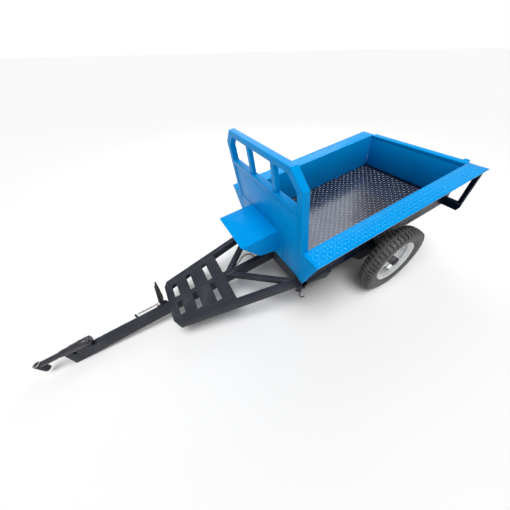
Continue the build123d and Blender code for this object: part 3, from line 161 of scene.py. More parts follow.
class Sheet:
    """One finish's material, drawn node by node."""

    def __init__(self, name: str) -> None:
        """Starts an empty material of that name."""
        self.material = bpy.data.materials.new(name)
        self.material.use_nodes = True
        self.tree = self.material.node_tree
        self.shader = self.tree.nodes["Principled BSDF"]
        coordinates = self.tree.nodes.new("ShaderNodeTexCoord")
        self.place = coordinates.outputs["Object"]

    def node(self, kind: str, settings: dict[str, Any], sockets: dict[Any, Any]) -> bpy.types.Node:
        """Adds a node.

        Args:
            kind: The node's type.
            settings: Attributes that are set first.
            sockets: Values or links of its inputs, by name or place.

        Returns:
            The node.
        """
        node = self.tree.nodes.new(kind)
        for name, setting in settings.items():
            setattr(node, name, setting)
        for name, value in sockets.items():
            self.feed(node.inputs[name], value)
        return node

    def feed(self, socket: bpy.types.NodeSocket, value: Any) -> None:
        """Links or sets one input."""
        source = value.socket if isinstance(value, Value) else value
        if isinstance(source, bpy.types.NodeSocket):
            self.tree.links.new(source, socket)
        else:
            socket.default_value = source

    def mapped(self, scale: Point, turn: Point = (0.0, 0.0, 0.0)) -> bpy.types.NodeSocket:
        """Object coordinates, scaled and turned."""
        node = self.node("ShaderNodeMapping", {}, {"Vector": self.place, "Scale": scale, "Rotation": turn})
        return node.outputs[0]

    def noise(self, scale: float, detail: float = 2.0, rough: float = 0.5,
              vector: Optional[bpy.types.NodeSocket] = None) -> Value:
        """Fractal noise from nought to one."""
        node = self.node("ShaderNodeTexNoise", {}, {"Vector": vector or self.place, "Scale": scale,
                                                    "Detail": detail, "Roughness": rough})
        return Value(self, node.outputs["Fac"])

    def cells(self, scale: float, vector: Optional[bpy.types.NodeSocket] = None) -> Value:
        """Distance to the nearest of many scattered points."""
        node = self.node("ShaderNodeTexVoronoi", {}, {"Vector": vector or self.place, "Scale": scale})
        return Value(self, node.outputs["Distance"])

    def blend(self, factor: Any, first: Any, second: Any) -> bpy.types.NodeSocket:
        """Mixes two colours."""
        mix = self.node("ShaderNodeMix", {"data_type": "RGBA"}, {0: factor})
        for place, colour in ((6, first), (7, second)):
            self.feed(mix.inputs[place], (*colour, 1.0) if isinstance(colour, tuple) else colour)
        return mix.outputs[2]

    def bumps(self, *layers: tuple[Value, float]) -> None:
        """Feeds the normal from layers of height.

        Args:
            layers: Pairs of a height from nought to one and its size in metres.
        """
        normal = None
        for value, size in layers:
            sockets = {"Height": value, "Distance": size, "Strength": 1.0}
            if normal is not None:
                sockets["Normal"] = normal
            normal = self.node("ShaderNodeBump", {}, sockets).outputs[0]
        self.feed(self.shader.inputs["Normal"], normal)

    def finish(self, **sockets: Any) -> bpy.types.Material:
        """Sets the shader's own inputs, named with underscores for spaces.

        Returns:
            The finished material.
        """
        for name, value in sockets.items():
            value = (*value, 1.0) if isinstance(value, tuple) and len(value) == 3 else value
            self.feed(self.shader.inputs[name.replace("_", " ")], value)
        return self.material


# ---------------------------------------------------------------- finishes
@dataclass(frozen=True)
class GlossPaint:
    """Sprayed gloss enamel on sheet steel, with orange peel and slack in the sheet."""

    name: str
    tone: Colour
    shade: Colour
    roughness: float = 0.3
    sheet_slack: float = 0.004
    peel: float = 0.00012
    dust: float = 0.05
    shine: float = 0.07
    gloss_tint: Colour = (0.1, 0.5, 1.0)

    def make(self) -> bpy.types.Material:
        """Draws the material."""
        sheet = Sheet(self.name)
        clouds = sheet.noise(3.1, 3.0).spread(0.32, 0.68)
        fine = sheet.noise(260.0, 2.0).spread(0.3, 0.7)
        specks = 1 - sheet.cells(95.0).spread(0.05, 0.16)
        dusty = (sheet.noise(17.0, 4.0, 0.6).spread(0.55, 0.8) * self.dust) + specks * fine * (self.dust * 0.6)
        paint = sheet.blend(clouds * 0.75 + fine * 0.1, self.shade, self.tone)
        colour = sheet.blend(dusty, paint, (0.06, 0.4, 0.7))
        rough = clouds * 0.06 + fine * 0.05 + dusty * 0.6 + (self.roughness - 0.05)
        sheet.bumps((sheet.noise(5.5, 1.0), self.sheet_slack), (sheet.noise(620.0, 1.0), self.peel))
        return sheet.finish(Base_Color=colour, Roughness=rough, Specular_IOR_Level=self.shine,
                            Specular_Tint=self.gloss_tint)


@dataclass(frozen=True)
class ToughPaint:
    """Black enamel on tube and plate, with scratches, rubbed patches and dust."""

    name: str
    tone: Colour = (0.02, 0.022, 0.03)
    worn: Colour = (0.16, 0.16, 0.17)
    roughness: float = 0.42
    wear: float = 0.35
    shine: float = 0.2

    def make(self) -> bpy.types.Material:
        """Draws the material."""
        sheet = Sheet(self.name)
        clouds = sheet.noise(7.0, 4.0, 0.62)
        streaks = sheet.noise(60.0, 3.0, 0.6, sheet.mapped((1.0, 9.0, 9.0), (0.0, 0.15, 0.35)))
        cross = sheet.noise(70.0, 3.0, 0.6, sheet.mapped((9.0, 1.2, 9.0), (0.0, 0.15, -0.4)))
        scratch = (streaks.spread(0.66, 0.72)).most(cross.spread(0.68, 0.74)) * clouds.spread(0.42, 0.62)
        rubbed = clouds.spread(0.56, 0.74) * sheet.noise(420.0, 2.0).spread(0.35, 0.7)
        wear = (scratch * 0.8).most(rubbed * 0.45) * self.wear
        chips = (1 - sheet.cells(60.0).spread(0.02, 0.07)) * clouds.spread(0.45, 0.6)
        paint = sheet.blend(clouds.spread(0.3, 0.7), self.tone, tuple(1.4 * part for part in self.tone))
        colour = sheet.blend(wear.most(chips * self.wear), paint, self.worn)
        rough = clouds * 0.16 + wear * 0.4 + (self.roughness - 0.06)
        sheet.bumps((sheet.noise(9.0, 1.0), 0.0012), (sheet.noise(540.0, 2.0), 0.00016), (scratch, -0.0001))
        return sheet.finish(Base_Color=colour, Roughness=rough, Specular_IOR_Level=self.shine)


@dataclass(frozen=True)
class FloorEnamel:
    """Dark glossy enamel on the chequered floor, with scuffs and grit; its lighter copy on the lugs is partly wear
    and partly painted highlight.
    """

    name: str
    tone: Colour = (0.105, 0.112, 0.135)
    roughness: float = 0.2

    def make(self) -> bpy.types.Material:
        """Draws the material."""
        sheet = Sheet(self.name)
        clouds = sheet.noise(4.0, 4.0, 0.6)
        grit = sheet.noise(330.0, 3.0, 0.7)
        scuffs = sheet.noise(30.0, 3.0, 0.6, sheet.mapped((1.0, 6.0, 6.0), (0.0, 0.15, 0.2))).spread(0.6, 0.75)
        colour = sheet.blend(clouds.spread(0.3, 0.7), self.tone, tuple(1.25 * part for part in self.tone))
        colour = sheet.blend(scuffs * 0.05 + grit.spread(0.6, 0.8) * 0.1, colour, (0.28, 0.29, 0.31))
        rough = clouds * 0.12 + grit * 0.1 + scuffs * 0.15 + (self.roughness - 0.1)
        sheet.bumps((sheet.noise(6.0, 1.0), 0.003), (grit, 0.00012))
        return sheet.finish(Base_Color=colour, Roughness=rough, Metallic=0.9)


@dataclass(frozen=True)
class PlainMetal:
    """Zinc plated, cast or sprayed silver metal with fine grain and stains."""

    name: str
    tone: Colour = (0.5, 0.5, 0.49)
    stain: Colour = (0.2, 0.18, 0.16)
    roughness: float = 0.35
    metallic: float = 0.9
    grain: float = 0.00012
    stained: float = 0.35

    def make(self) -> bpy.types.Material:
        """Draws the material."""
        sheet = Sheet(self.name)
        clouds = sheet.noise(22.0, 4.0, 0.6)
        grit = sheet.noise(480.0, 3.0, 0.6)
        stains = clouds.spread(0.5, 0.75) * self.stained
        colour = sheet.blend(grit * 0.3, self.tone, tuple(0.8 * part for part in self.tone))
        colour = sheet.blend(stains, colour, self.stain)
        rough = grit * 0.16 + stains * 0.5 + (self.roughness - 0.08)
        metal = self.metallic - stains * (0.6 * self.metallic)
        sheet.bumps((clouds, 0.0004), (grit, self.grain))
        return sheet.finish(Base_Color=colour, Roughness=rough, Metallic=metal)


@dataclass(frozen=True)
class Rubber:
    """Vulcanised rubber, greyed by dust in patches."""

    name: str
    tone: Colour = (0.03, 0.031, 0.032)
    dust: Colour = (0.16, 0.16, 0.155)
    dusty: float = 0.5

    def make(self) -> bpy.types.Material:
        """Draws the material."""
        sheet = Sheet(self.name)
        clouds = sheet.noise(14.0, 5.0, 0.65)
        grit = sheet.noise(700.0, 2.0, 0.6)
        film = clouds.spread(0.35, 0.75) * self.dusty + grit.spread(0.55, 0.8) * (self.dusty * 0.3)
        colour = sheet.blend(film, self.tone, self.dust)
        rough = clouds * 0.2 + film * 0.3 + 0.42
        sheet.bumps((clouds, 0.0006), (grit, 0.00015))
        return sheet.finish(Base_Color=colour, Roughness=rough)


class Finishes:
    """Every finish of the cart, made once."""

    def __init__(self) -> None:
        """Makes the materials."""
        azure, deep = (0.0, 0.285, 0.7), (0.0, 0.24, 0.6)
        self.blue = GlossPaint("azure_enamel", azure, deep).make()
        self.checker = GlossPaint("azure_enamel_on_chequer", azure, deep, 0.27, 0.002, 0.0002, 0.12,
                                  shine=0.12).make()
        # The lugs' blue is lighter than the plate's blue: painted highlight.
        self.checker_lugs = GlossPaint("azure_enamel_painted_highlight_on_lugs", (0.01, 0.36, 0.8), azure, 0.2, 0.002, 0.0001, 0.1,
                                       shine=0.6, gloss_tint=(0.5, 0.8, 1.0)).make()
        # Near-black navy: the own paint of the tray rails, rear beam and corner posts, and painted shade on the side
        # walls' outsides and the flanges' undersides.
        self.navy = GlossPaint("navy_enamel_and_painted_shade", (0.002, 0.007, 0.022), (0.003, 0.005, 0.012), 0.34).make()
        self.black = ToughPaint("black_enamel").make()
        self.scuffed = ToughPaint("black_enamel_scuffed", roughness=0.46, wear=0.7).make()
        self.floor = FloorEnamel("dark_floor_enamel").make()
        # Lighter floor enamel for the lugs: partly wear on their tops, partly painted highlight.
        self.floor_lugs = FloorEnamel("floor_enamel_worn_and_painted_highlight", (0.15, 0.158, 0.185), 0.19).make()
        self.zinc = PlainMetal("zinc_plate", (0.62, 0.61, 0.58), (0.3, 0.26, 0.2), 0.3, stained=0.25).make()
        self.edge = PlainMetal("sheared_edge", (0.3, 0.27, 0.27), (0.16, 0.12, 0.1), 0.5, 0.5).make()
        self.weld = PlainMetal("painted_weld", (0.045, 0.046, 0.05), (0.15, 0.14, 0.13), 0.4, 0.2,
                               0.0003, 0.4).make()
        self.hitch = ToughPaint("black_enamel_hitch", (0.014, 0.015, 0.022), roughness=0.32, wear=0.25,
                                shine=0.7).make()
        self.hardware = ToughPaint("blackened_hardware", (0.02, 0.02, 0.022), roughness=0.36, wear=0.6,
                                   shine=0.5).make()
        self.silver = PlainMetal("silver_wheel_enamel", (0.62, 0.63, 0.64), (0.3, 0.3, 0.29), 0.34, 0.55,
                                 stained=0.45).make()
        self.casting = PlainMetal("cast_grey", (0.12, 0.12, 0.12), (0.05, 0.045, 0.04), 0.55, 0.4, 0.0005).make()
        self.rubber = Rubber("tyre_rubber").make()
        self.soft_black = Rubber("black_sheath", (0.012, 0.012, 0.013), (0.08, 0.08, 0.08), 0.15).make()


# ---------------------------------------------------------------- bench
class Bench:
    """The cart's level frame, and the hand operations that shape its pieces.

    Pieces are drawn with the cart level: X forward from the headboard's face, Y left, Z up from the
    tray floor. The cart then stands nose down, and this frame's matrix puts each piece there.
    """

    def __init__(self, frame: dict[str, Any]) -> None:
        """Finds the level frame from the swivel's axis and the tray's pieces.
        """
        self.nodes = frame["nodes"]
        axis = Vector(next(joint["axis"] for joint in frame["joints"] if joint["name"] == "tow_eye_swivel"))
        turn = Matrix.Rotation(math.atan2(-axis.z, axis.x), 4, "Y")
        self.matrix = turn
        front = self.level_box("headboard_posts")[1].x
        floor = self.level_box("tray_floor")[1].z
        self.matrix = turn @ Matrix.Translation((front, 0.0, floor))

    def level_points(self, node: str) -> list[Vector]:
        """A CAD node's vertices in the level frame."""
        inverse = self.matrix.inverted()
        return [inverse @ vertex.co for vertex in self.nodes[node].data.vertices]

    def level_box(self, node: str) -> Box:
        """A CAD node's lowest and highest corners in the level frame."""
        points = self.level_points(node)
        low = Vector([min(point[axis] for point in points) for axis in range(3)])
        high = Vector([max(point[axis] for point in points) for axis in range(3)])
        return low, high

    @staticmethod
    def only(piece: bpy.types.Object) -> None:
        """Selects one piece and nothing else."""
        bpy.ops.object.select_all(action="DESELECT")
        piece.select_set(True)
        bpy.context.view_layer.objects.active = piece

    @contextmanager
    def editing(self, piece: bpy.types.Object, mode: str = "FACE") -> Iterator[None]:
        """Edit mode on one piece, with that select mode."""
        self.only(piece)
        modes = (mode == "VERT", mode == "EDGE", mode == "FACE")
        bpy.context.tool_settings.mesh_select_mode = modes
        bpy.ops.object.mode_set(mode="EDIT")
        try:
            yield
        finally:
            bpy.ops.object.mode_set(mode="OBJECT")

    @staticmethod
    def pick(piece: bpy.types.Object, wanted: Callable[[Vector, Vector], bool]) -> None:
        """Selects the faces whose middle and normal pass a test.

        Args:
            piece: The mesh, in object mode.
            wanted: The test of a face's middle and normal.
        """
        mesh = piece.data
        for part in (mesh.vertices, mesh.edges):
            part.foreach_set("select", [False] * len(part))
        chosen = [wanted(face.center, face.normal) for face in mesh.polygons]
        mesh.polygons.foreach_set("select", chosen)

    @staticmethod
    def pick_edges(piece: bpy.types.Object, wanted: Callable[[Vector, Vector], bool]) -> None:
        """Selects the edges whose two ends pass a test."""
        mesh = piece.data
        for part in (mesh.vertices, mesh.edges, mesh.polygons):
            part.foreach_set("select", [False] * len(part))
        for edge in mesh.edges:
            first, second = (mesh.vertices[index] for index in edge.vertices)
            if wanted(first.co, second.co):
                edge.select = first.select = second.select = True

    def modify(self, piece: bpy.types.Object, kind: str, **settings: Any) -> None:
        """Adds one modifier and applies it."""
        self.only(piece)
        modifier = piece.modifiers.new(kind.lower(), kind)
        for name, setting in settings.items():
            setattr(modifier, name, setting)
        bpy.ops.object.modifier_apply(modifier=modifier.name)

    def soften(self, piece: bpy.types.Object, width: float, segments: int = 3,
               angle: float = math.radians(30)) -> None:
        """Rounds the piece's sharp edges and smooths what is nearly flat."""
        if width > 0:
            self.modify(piece, "BEVEL", width=width, segments=segments, limit_method="ANGLE",
                        angle_limit=angle, use_clamp_overlap=True)
        self.smooth(piece)

    def smooth(self, piece: bpy.types.Object, angle: float = SMOOTH_ANGLE) -> None:
        """Smooths the piece but for its edges sharper than an angle."""
        self.only(piece)
        bpy.ops.object.shade_smooth_by_angle(angle=angle)

    @staticmethod
    def paint(piece: bpy.types.Object, finishes: Sequence[bpy.types.Material],
              choose: Callable[[Vector, Vector], int]) -> None:
        """Lays several finishes on one piece.

        Args:
            piece: The mesh.
            finishes: The materials.
            choose: Which of them a face takes, from its middle and normal.
        """
        for finish in finishes:
            piece.data.materials.append(finish)
        for face in piece.data.polygons:
            face.material_index = choose(face.center, face.normal)

    def copy_of(self, node: str, name: str) -> bpy.types.Object:
        """A merged copy of a CAD node's mesh, in place.

        Args:
            node: The CAD node.
            name: The new piece's name.

        Returns:
            The new piece.
        """
        piece = bpy.data.objects.new(name, self.nodes[node].data.copy())
        bpy.context.scene.collection.objects.link(piece)
        piece.data.materials.clear()
        self.only(piece)
        bpy.ops.mesh.customdata_custom_splitnormals_clear()
        with self.editing(piece, "VERT"):
            bpy.ops.mesh.select_all(action="SELECT")
            bpy.ops.mesh.remove_doubles(threshold=MERGE_GAP)
            bpy.ops.mesh.dissolve_limited(angle_limit=FLAT_ANGLE)
        return piece

    def primitive(self, name: str, kind: str, place: Sequence[float], turn: Point = (0.0, 0.0, 0.0),
                  scale: Point = (1.0, 1.0, 1.0), **sizes: Any) -> bpy.types.Object:
        """A mesh primitive in the level frame, its place and size applied.

        Args:
            name: The new piece's name.
            kind: The primitive, as in primitive_KIND_add.
            place: Its middle.
            turn: Its turn about X, Y and Z.
            scale: Its scale along its own axes.
            sizes: The primitive's own settings.

        Returns:
            The new piece.
        """
        bpy.ops.object.select_all(action="DESELECT")
        getattr(bpy.ops.mesh, f"primitive_{kind}_add")(location=tuple(place), rotation=turn, scale=scale, **sizes)
        piece = bpy.context.view_layer.objects.active
        piece.name = name
        bpy.ops.object.transform_apply(location=True, rotation=True, scale=True)
        return piece

    def lathe(self, name: str, outline: Sequence[tuple[float, float]], middle: Vector, axis: Point,
              steps: int, wall: float = 0.0) -> bpy.types.Object:
        """Spins an outline of radius and offset about an axis through middle.

        Args:
            name: The new piece's name.
            outline: Radius and offset along the axis of each point.
            middle: A point on the axis.
            axis: The axis, along X, Y or Z.
            steps: Faces round the turn.
            wall: Thickness given to an open outline.

        Returns:
            The new piece.
        """
        along = Vector(axis)
        across = Vector((0.0, 0.0, 1.0)) if abs(along.z) < 0.5 else Vector((1.0, 0.0, 0.0))
        piece = self.primitive(name, "circle", middle, vertices=max(3, len(outline)), radius=0.01)
        closed = wall <= 0 and outline[0] != outline[-1] and outline[0][0] > 0
        for vertex, (radius, offset) in zip(piece.data.vertices, outline):
            vertex.co = middle + across * radius + along * offset
        if not closed:
            last = len(outline) - 1
            self.pick_edges(piece, lambda a, b: {tuple(a), tuple(b)} == {
                tuple(piece.data.vertices[0].co), tuple(piece.data.vertices[last].co)})
            with self.editing(piece, "EDGE"):
                bpy.ops.mesh.delete(type="EDGE")
        with self.editing(piece, "VERT"):
            bpy.ops.mesh.select_all(action="SELECT")
            bpy.ops.mesh.spin(steps=steps, angle=math.tau, center=tuple(middle), axis=axis)
            bpy.ops.mesh.select_all(action="SELECT")
            bpy.ops.mesh.remove_doubles(threshold=MERGE_GAP)
            bpy.ops.mesh.normals_make_consistent(inside=False)
        if wall > 0:
            self.modify(piece, "SOLIDIFY", thickness=wall, offset=0.0)
        return piece

    def rope(self, name: str, paths: Iterable[Sequence[tuple[Vector, float]]], sides: int = 2) -> bpy.types.Object:
        """Round strands along paths, as one mesh.

        Args:
            name: The new piece's name.
            paths: For each strand, its points and the radius at each.
            sides: The bevel's resolution.

        Returns:
            The new piece.
        """
        curve = bpy.data.curves.new(name, "CURVE")
        curve.dimensions = "3D"
        curve.bevel_depth = 1.0
        curve.bevel_resolution = sides
        curve.use_fill_caps = True
        for path in paths:
            spline = curve.splines.new("POLY")
            spline.points.add(len(path) - 1)
            for point, (place, radius) in zip(spline.points, path):
                point.co = (*place, 1.0)
                point.radius = radius
        piece = bpy.data.objects.new(name, curve)
        bpy.context.scene.collection.objects.link(piece)
        self.only(piece)
        bpy.ops.object.convert(target="MESH")
        return bpy.context.view_layer.objects.active

    def join(self, name: str, pieces: Sequence[bpy.types.Object]) -> bpy.types.Object:
        """One piece from several."""
        bpy.ops.object.select_all(action="DESELECT")
        for piece in pieces:
            piece.select_set(True)
        bpy.context.view_layer.objects.active = pieces[0]
        bpy.ops.object.join()
        pieces[0].name = name
        return pieces[0]

    def stand(self, piece: bpy.types.Object) -> bpy.types.Object:
        """Turns a level piece nose down into its place in the mesh."""
        piece.data.transform(self.matrix)
        return piece

    @staticmethod
    def dress(piece: bpy.types.Object, body: str, slot: Slot, material: bpy.types.Material,
              *nodes: str) -> bpy.types.Object:
        """Gives a piece its finish and its body, and hides the nodes that it stands for."""
        if not piece.data.materials:
            piece.data.materials.append(material)
        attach(piece, body)
        if nodes:
            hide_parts(*nodes)
        log.info("%s: %d faces, rides on %s", piece.name, len(piece.data.polygons), body)
        return piece


@dataclass
class Welder:
    """Lays rippled weld beads."""

    bench: Bench
    radius: float = 0.0032
    ripple: float = 0.2
    pitch: float = 0.0026
    wander: float = 0.0004
    dice: random.Random = field(default_factory=lambda: random.Random(7))

    def bead(self, start: Sequence[float], end: Sequence[float], size: float = 1.0) -> list[tuple[Vector, float]]:
        """Points and radii of one bead.

        Args:
            start: One end in the level frame.
            end: The other end.
            size: Its size against the usual bead.

        Returns:
            The points with their radii.
        """
        first, last = Vector(start), Vector(end)
        count = max(3, int((last - first).length / self.pitch))
        path = []
        for index in range(count + 1):
            share = index / count
            shift = Vector([self.dice.uniform(-self.wander, self.wander) for _ in range(3)])
            swell = 1 - self.ripple * (index % 2) + self.dice.uniform(-0.08, 0.08)
            taper = min(1.0, 0.55 + 4 * min(share, 1 - share))
            path.append((first.lerp(last, share) + shift, self.radius * size * swell * taper))
        return path

    def lay(self, name: str, runs: Sequence[Run]) -> bpy.types.Object:
        """Lays a bead on each run, in order, as one piece standing in place."""
        piece = self.bench.stand(self.bench.rope(name, [self.bead(*run) for run in runs]))
        self.bench.smooth(piece, ROUND_ANGLE)
        return piece


@dataclass
class ChequerLugs:
    """Raised lugs of chequer plate, turned this way and that."""

    bench: Bench
    pitch: float = 0.0252
    length: float = 0.0225
    width: float = 0.0068
    rise: float = 0.0016
    segments: int = 10

    def single(self, name: str, corner: Vector, turn: float) -> bpy.types.Object:
        """One lug standing on the plate at that corner of its field."""
        scale = (self.length / 2, self.width / 2, self.rise)
        lug = self.bench.primitive(name, "uv_sphere", (0.0, 0.0, 0.0), segments=self.segments, ring_count=6,
                                   radius=1.0, scale=scale)
        with self.bench.editing(lug, "VERT"):
            bpy.ops.mesh.select_all(action="SELECT")
            bpy.ops.mesh.bisect(plane_co=(0.0, 0.0, 0.0), plane_no=(0.0, 0.0, 1.0), clear_inner=True, use_fill=True)
        lug.data.transform(Matrix.Translation(corner) @ Matrix.Rotation(turn, 4, "Z"))
        return lug

    def field(self, name: str, low: Vector, high: Vector) -> bpy.types.Object:
        """Covers a level rectangle.

        Args:
            name: The new piece's name.
            low: The rectangle's lowest corner, at the plate's top.
            high: Its highest corner.

        Returns:
            The lugs as one piece, in the level frame.
        """
        across = [int((high[axis] - low[axis]) / self.pitch) for axis in (0, 1)]
        start = [low[axis] + (high[axis] - low[axis] - (across[axis] - 1) * self.pitch) / 2 for axis in (0, 1)]
        sets = []
        for column in (0, 1):
            for row in (0, 1):
                corner = Vector((start[0] + column * self.pitch, start[1] + row * self.pitch, low.z))
                turn = math.radians(45 if column == row else -45)
                lug = self.single(f"{name}_{column}{row}", corner, turn)
                for axis, first in ((0, column), (1, row)):
                    step = [0.0, 0.0, 0.0]
                    step[axis] = 2 * self.pitch
                    self.bench.modify(lug, "ARRAY", count=(across[axis] - first + 1) // 2, use_relative_offset=False,
                                      use_constant_offset=True, constant_offset_displace=step)
                sets.append(lug)
        lugs = self.bench.join(name, sets)
        self.bench.smooth(lugs, ROUND_ANGLE)
        return lugs


# ---------------------------------------------------------------- painted CAD pieces
@dataclass(frozen=True)
class Skin:
    """How one CAD node is rounded and painted."""

    node: str
    body: str
    slot: Slot
    finish: str
    rounding: float
    segments: int = 3


PLAIN_SKINS = (
    Skin("tray_rails", "tray", Slot.BLACK, "navy", 0.004),
    Skin("tray_cross_members", "tray", Slot.BLACK, "black", 0.004),
    Skin("rear_beam", "tray", Slot.BLACK, "navy", 0.005),
    Skin("rear_corner_posts", "tray", Slot.BLACK, "navy", 0.0035),
    Skin("tip_bushes", "tray", Slot.BLACK, "black", 0.0012),
    Skin("headboard_dividers", "tray", Slot.BLUE, "blue", 0.003),
    Skin("headboard_ledge", "tray", Slot.BLUE, "blue", 0.003),
    Skin("front_sheet", "tray", Slot.BLUE, "blue", 0.0008),
    Skin("lower_front_sheet", "tray", Slot.BLUE, "blue", 0.0012),
    Skin("seat_sides", "tray", Slot.BLUE, "blue", 0.0009),
    Skin("front_corner_plates", "tray", Slot.BLUE, "blue", 0.0008),
    Skin("side_rails", "chassis", Slot.BLACK, "scuffed", 0.0055, 4),
    Skin("footplate", "chassis", Slot.BLACK, "scuffed", 0.0009),
    Skin("footplate_front_angle", "chassis", Slot.BLACK, "scuffed", 0.003),
    Skin("braces", "chassis", Slot.BLACK, "scuffed", 0.004),
    Skin("front_cross_member", "chassis", Slot.BLACK, "black", 0.005),
    Skin("frame_cross_members", "chassis", Slot.BLACK, "black", 0.005),
    Skin("longitudinals", "chassis", Slot.BLACK, "black", 0.005),
    Skin("tip_hinge_lugs", "chassis", Slot.BLACK, "black", 0.0012),
    Skin("drawbar", "chassis", Slot.BLACK, "scuffed", 0.005, 4),
    Skin("hitch_nose", "chassis", Slot.BLACK, "black", 0.0018),
    Skin("swivel_sleeve", "chassis", Slot.BLACK, "hitch", 0.0018),
    Skin("axle_beam", "chassis", Slot.BLACK, "black", 0.005),
    Skin("axle_brackets", "chassis", Slot.BLACK, "black", 0.0012),
    Skin("pedal_bracket", "chassis", Slot.BLACK, "black", 0.001),
    Skin("cable_stops", "chassis", Slot.BLACK, "black", 0.0015),
    Skin("latch_lugs", "chassis", Slot.BLACK, "black", 0.001),
    Skin("swivel_rod", "tow_eye", Slot.STEEL, "hitch", 0.0012),
    Skin("swivel_nut", "tow_eye", Slot.STEEL, "hitch", 0.0018),
    Skin("tailgate_rails", "tailgate", Slot.BLUE, "blue", 0.003),
    Skin("tailgate_tab", "tailgate", Slot.BLUE, "blue", 0.0015),
    Skin("tailgate_straps", "tailgate", Slot.BLUE, "blue", 0.0007),
    Skin("tailgate_pins", "tray", Slot.BLACK, "black", 0.0007),
    Skin("pedal_arm", "brake_pedal", Slot.BLACK, "black", 0.0012),
)
BARE_NODES = {"spindles": "zinc", "left_latch_hook": "hardware", "right_latch_hook": "hardware",
              "left_bearings": "zinc", "right_bearings": "zinc", "brake_cable": "soft_black", "tray_floor": "floor"}


class Bodywork:
    """Rounds and paints the CAD nodes whose shape is right."""

    def __init__(self, bench: Bench, finishes: Finishes) -> None:
        """Keeps the bench and the finishes."""
        self.bench = bench
        self.finishes = finishes

    def build(self) -> None:
        """Paints every plain node."""
        for skin in PLAIN_SKINS:
            piece = self.bench.copy_of(skin.node, skin.node + "_skin")
            self.bench.soften(piece, skin.rounding, skin.segments)
            self.bench.dress(piece, skin.body, skin.slot, getattr(self.finishes, skin.finish), skin.node)
        for node, finish in BARE_NODES.items():
            piece = self.bench.nodes[node]
            piece.data.materials.clear()
            piece.data.materials.append(getattr(self.finishes, finish))


@dataclass
class Tray:
    """The tray's walls, chequered flanges and floor."""

    bench: Bench
    finishes: Finishes
    sheet_rounding: float = 0.001
    edge_margin: float = 0.004
    wall_facing: float = 0.2        # a wall's outside takes painted shade past this product of place and normal
    tack_count: int = 6
    tack_length: float = 0.022
    tack_start: float = 0.12        # from the tray's rear edge
    tack_margin: float = 0.2        # the first to the last tack, less than the floor's length
    tack_inset: float = 0.0015
    tack_lift: float = 0.001
    tack_size: float = 0.9
    post_seam: float = 0.03
    post_sink: float = 0.0005

    def build(self) -> None:
        """Makes every piece of the tray that needs more than paint."""
        self.walls()
        self.flanges()
        self.floor_lugs()
        self.tacks()

    def walls(self) -> None:
        """Side walls, blue inside, with painted shade in dark navy outside."""
        walls = self.bench.copy_of("side_walls", "side_walls_skin")
        self.bench.soften(walls, self.sheet_rounding, 2)
        # Outward faces take the dark navy as painted shade.
        self.bench.paint(walls, (self.finishes.blue, self.finishes.navy),
                         lambda middle, normal: int(normal.y * middle.y > self.wall_facing))
        self.bench.dress(walls, Body.TRAY.value, Slot.BLUE, self.finishes.blue, "side_walls")

    def flanges(self) -> None:
        """Chequered ledges with bare sheared edges and undersides in dark navy as painted shade."""
        low, high = self.bench.level_box("side_flanges")
        inner = self.bench.level_box("side_walls")[1].y
        plate = self.bench.copy_of("side_flanges", "side_flanges_skin")
        self.bench.soften(plate, self.sheet_rounding, 2)

        def choose(middle: Vector, normal: Vector) -> int:
            """Painted shade below, bare along the outer edge and blue elsewhere."""
            outward = normal.y * math.copysign(1.0, middle.y)
            # Downward faces get the navy as painted shade.
            return 2 if normal.z < -FACING else 1 if outward > FACING else 0

        self.bench.paint(plate, (self.finishes.checker, self.finishes.edge, self.finishes.navy), choose)
        self.bench.dress(plate, Body.TRAY.value, Slot.CHECKER, self.finishes.checker, "side_flanges")
        lugs = ChequerLugs(self.bench)
        for name, side in (("left", 1), ("right", -1)):
            near, far = sorted((side * (inner + self.edge_margin), side * (high.y - self.edge_margin)))
            patch = lugs.field(f"{name}_flange_lugs", Vector((low.x + self.edge_margin, near, high.z)),
                               Vector((high.x - self.edge_margin, far, high.z)))
            # The lugs take the lighter blue, a painted highlight.
            self.bench.dress(self.bench.stand(patch), Body.TRAY.value, Slot.CHECKER, self.finishes.checker_lugs)

    def floor_lugs(self) -> None:
        """Lugs over the whole floor between the walls."""
        low, high = self.bench.level_box("tray_floor")
        front = self.bench.level_box("headboard_posts")[0].x
        lugs = ChequerLugs(self.bench, segments=8)
        margin = self.edge_margin
        patch = lugs.field("floor_lugs", Vector((low.x + margin, low.y + margin, high.z)),
                           Vector((front - margin, high.y - margin, high.z)))
        # The lugs take the lighter floor enamel: partly wear, partly painted highlight.
        self.bench.dress(self.bench.stand(patch), Body.TRAY.value, Slot.FLOOR, self.finishes.floor_lugs)

    def tacks(self) -> None:
        """Tack welds where the walls meet the floor, and seams at the rear corner posts."""
        welder = Welder(self.bench, dice=random.Random(11))
        low, high = self.bench.level_box("tray_floor")
        front = self.bench.level_box("headboard_posts")[0].x
        size, span, z = self.tack_size, front - low.x - self.tack_margin, high.z + self.tack_lift
        runs = []
        for index in range(self.tack_count):
            x = low.x + self.tack_start + index * span / (self.tack_count - 1)
            for side in (-1, 1):
                y = side * (high.y - self.tack_inset)
                runs.append(((x, y, z), (x + self.tack_length, y, z), size))
        self.bench.dress(welder.lay("floor_tack_welds", runs), Body.TRAY.value, Slot.BLUE, self.finishes.blue)
        low, high = self.bench.level_box("rear_corner_posts")
        runs = []
        for side in (-1, 1):
            near, far = side * high.y, side * (high.y - self.post_seam)
            for z in (low.z, high.z - self.post_sink):
                runs += [((high.x, near, z), (high.x, far, z), size), ((low.x, far, z), (high.x, far, z), size)]
        self.bench.dress(welder.lay("corner_post_welds", runs), Body.TRAY.value, Slot.BLACK, self.finishes.weld)


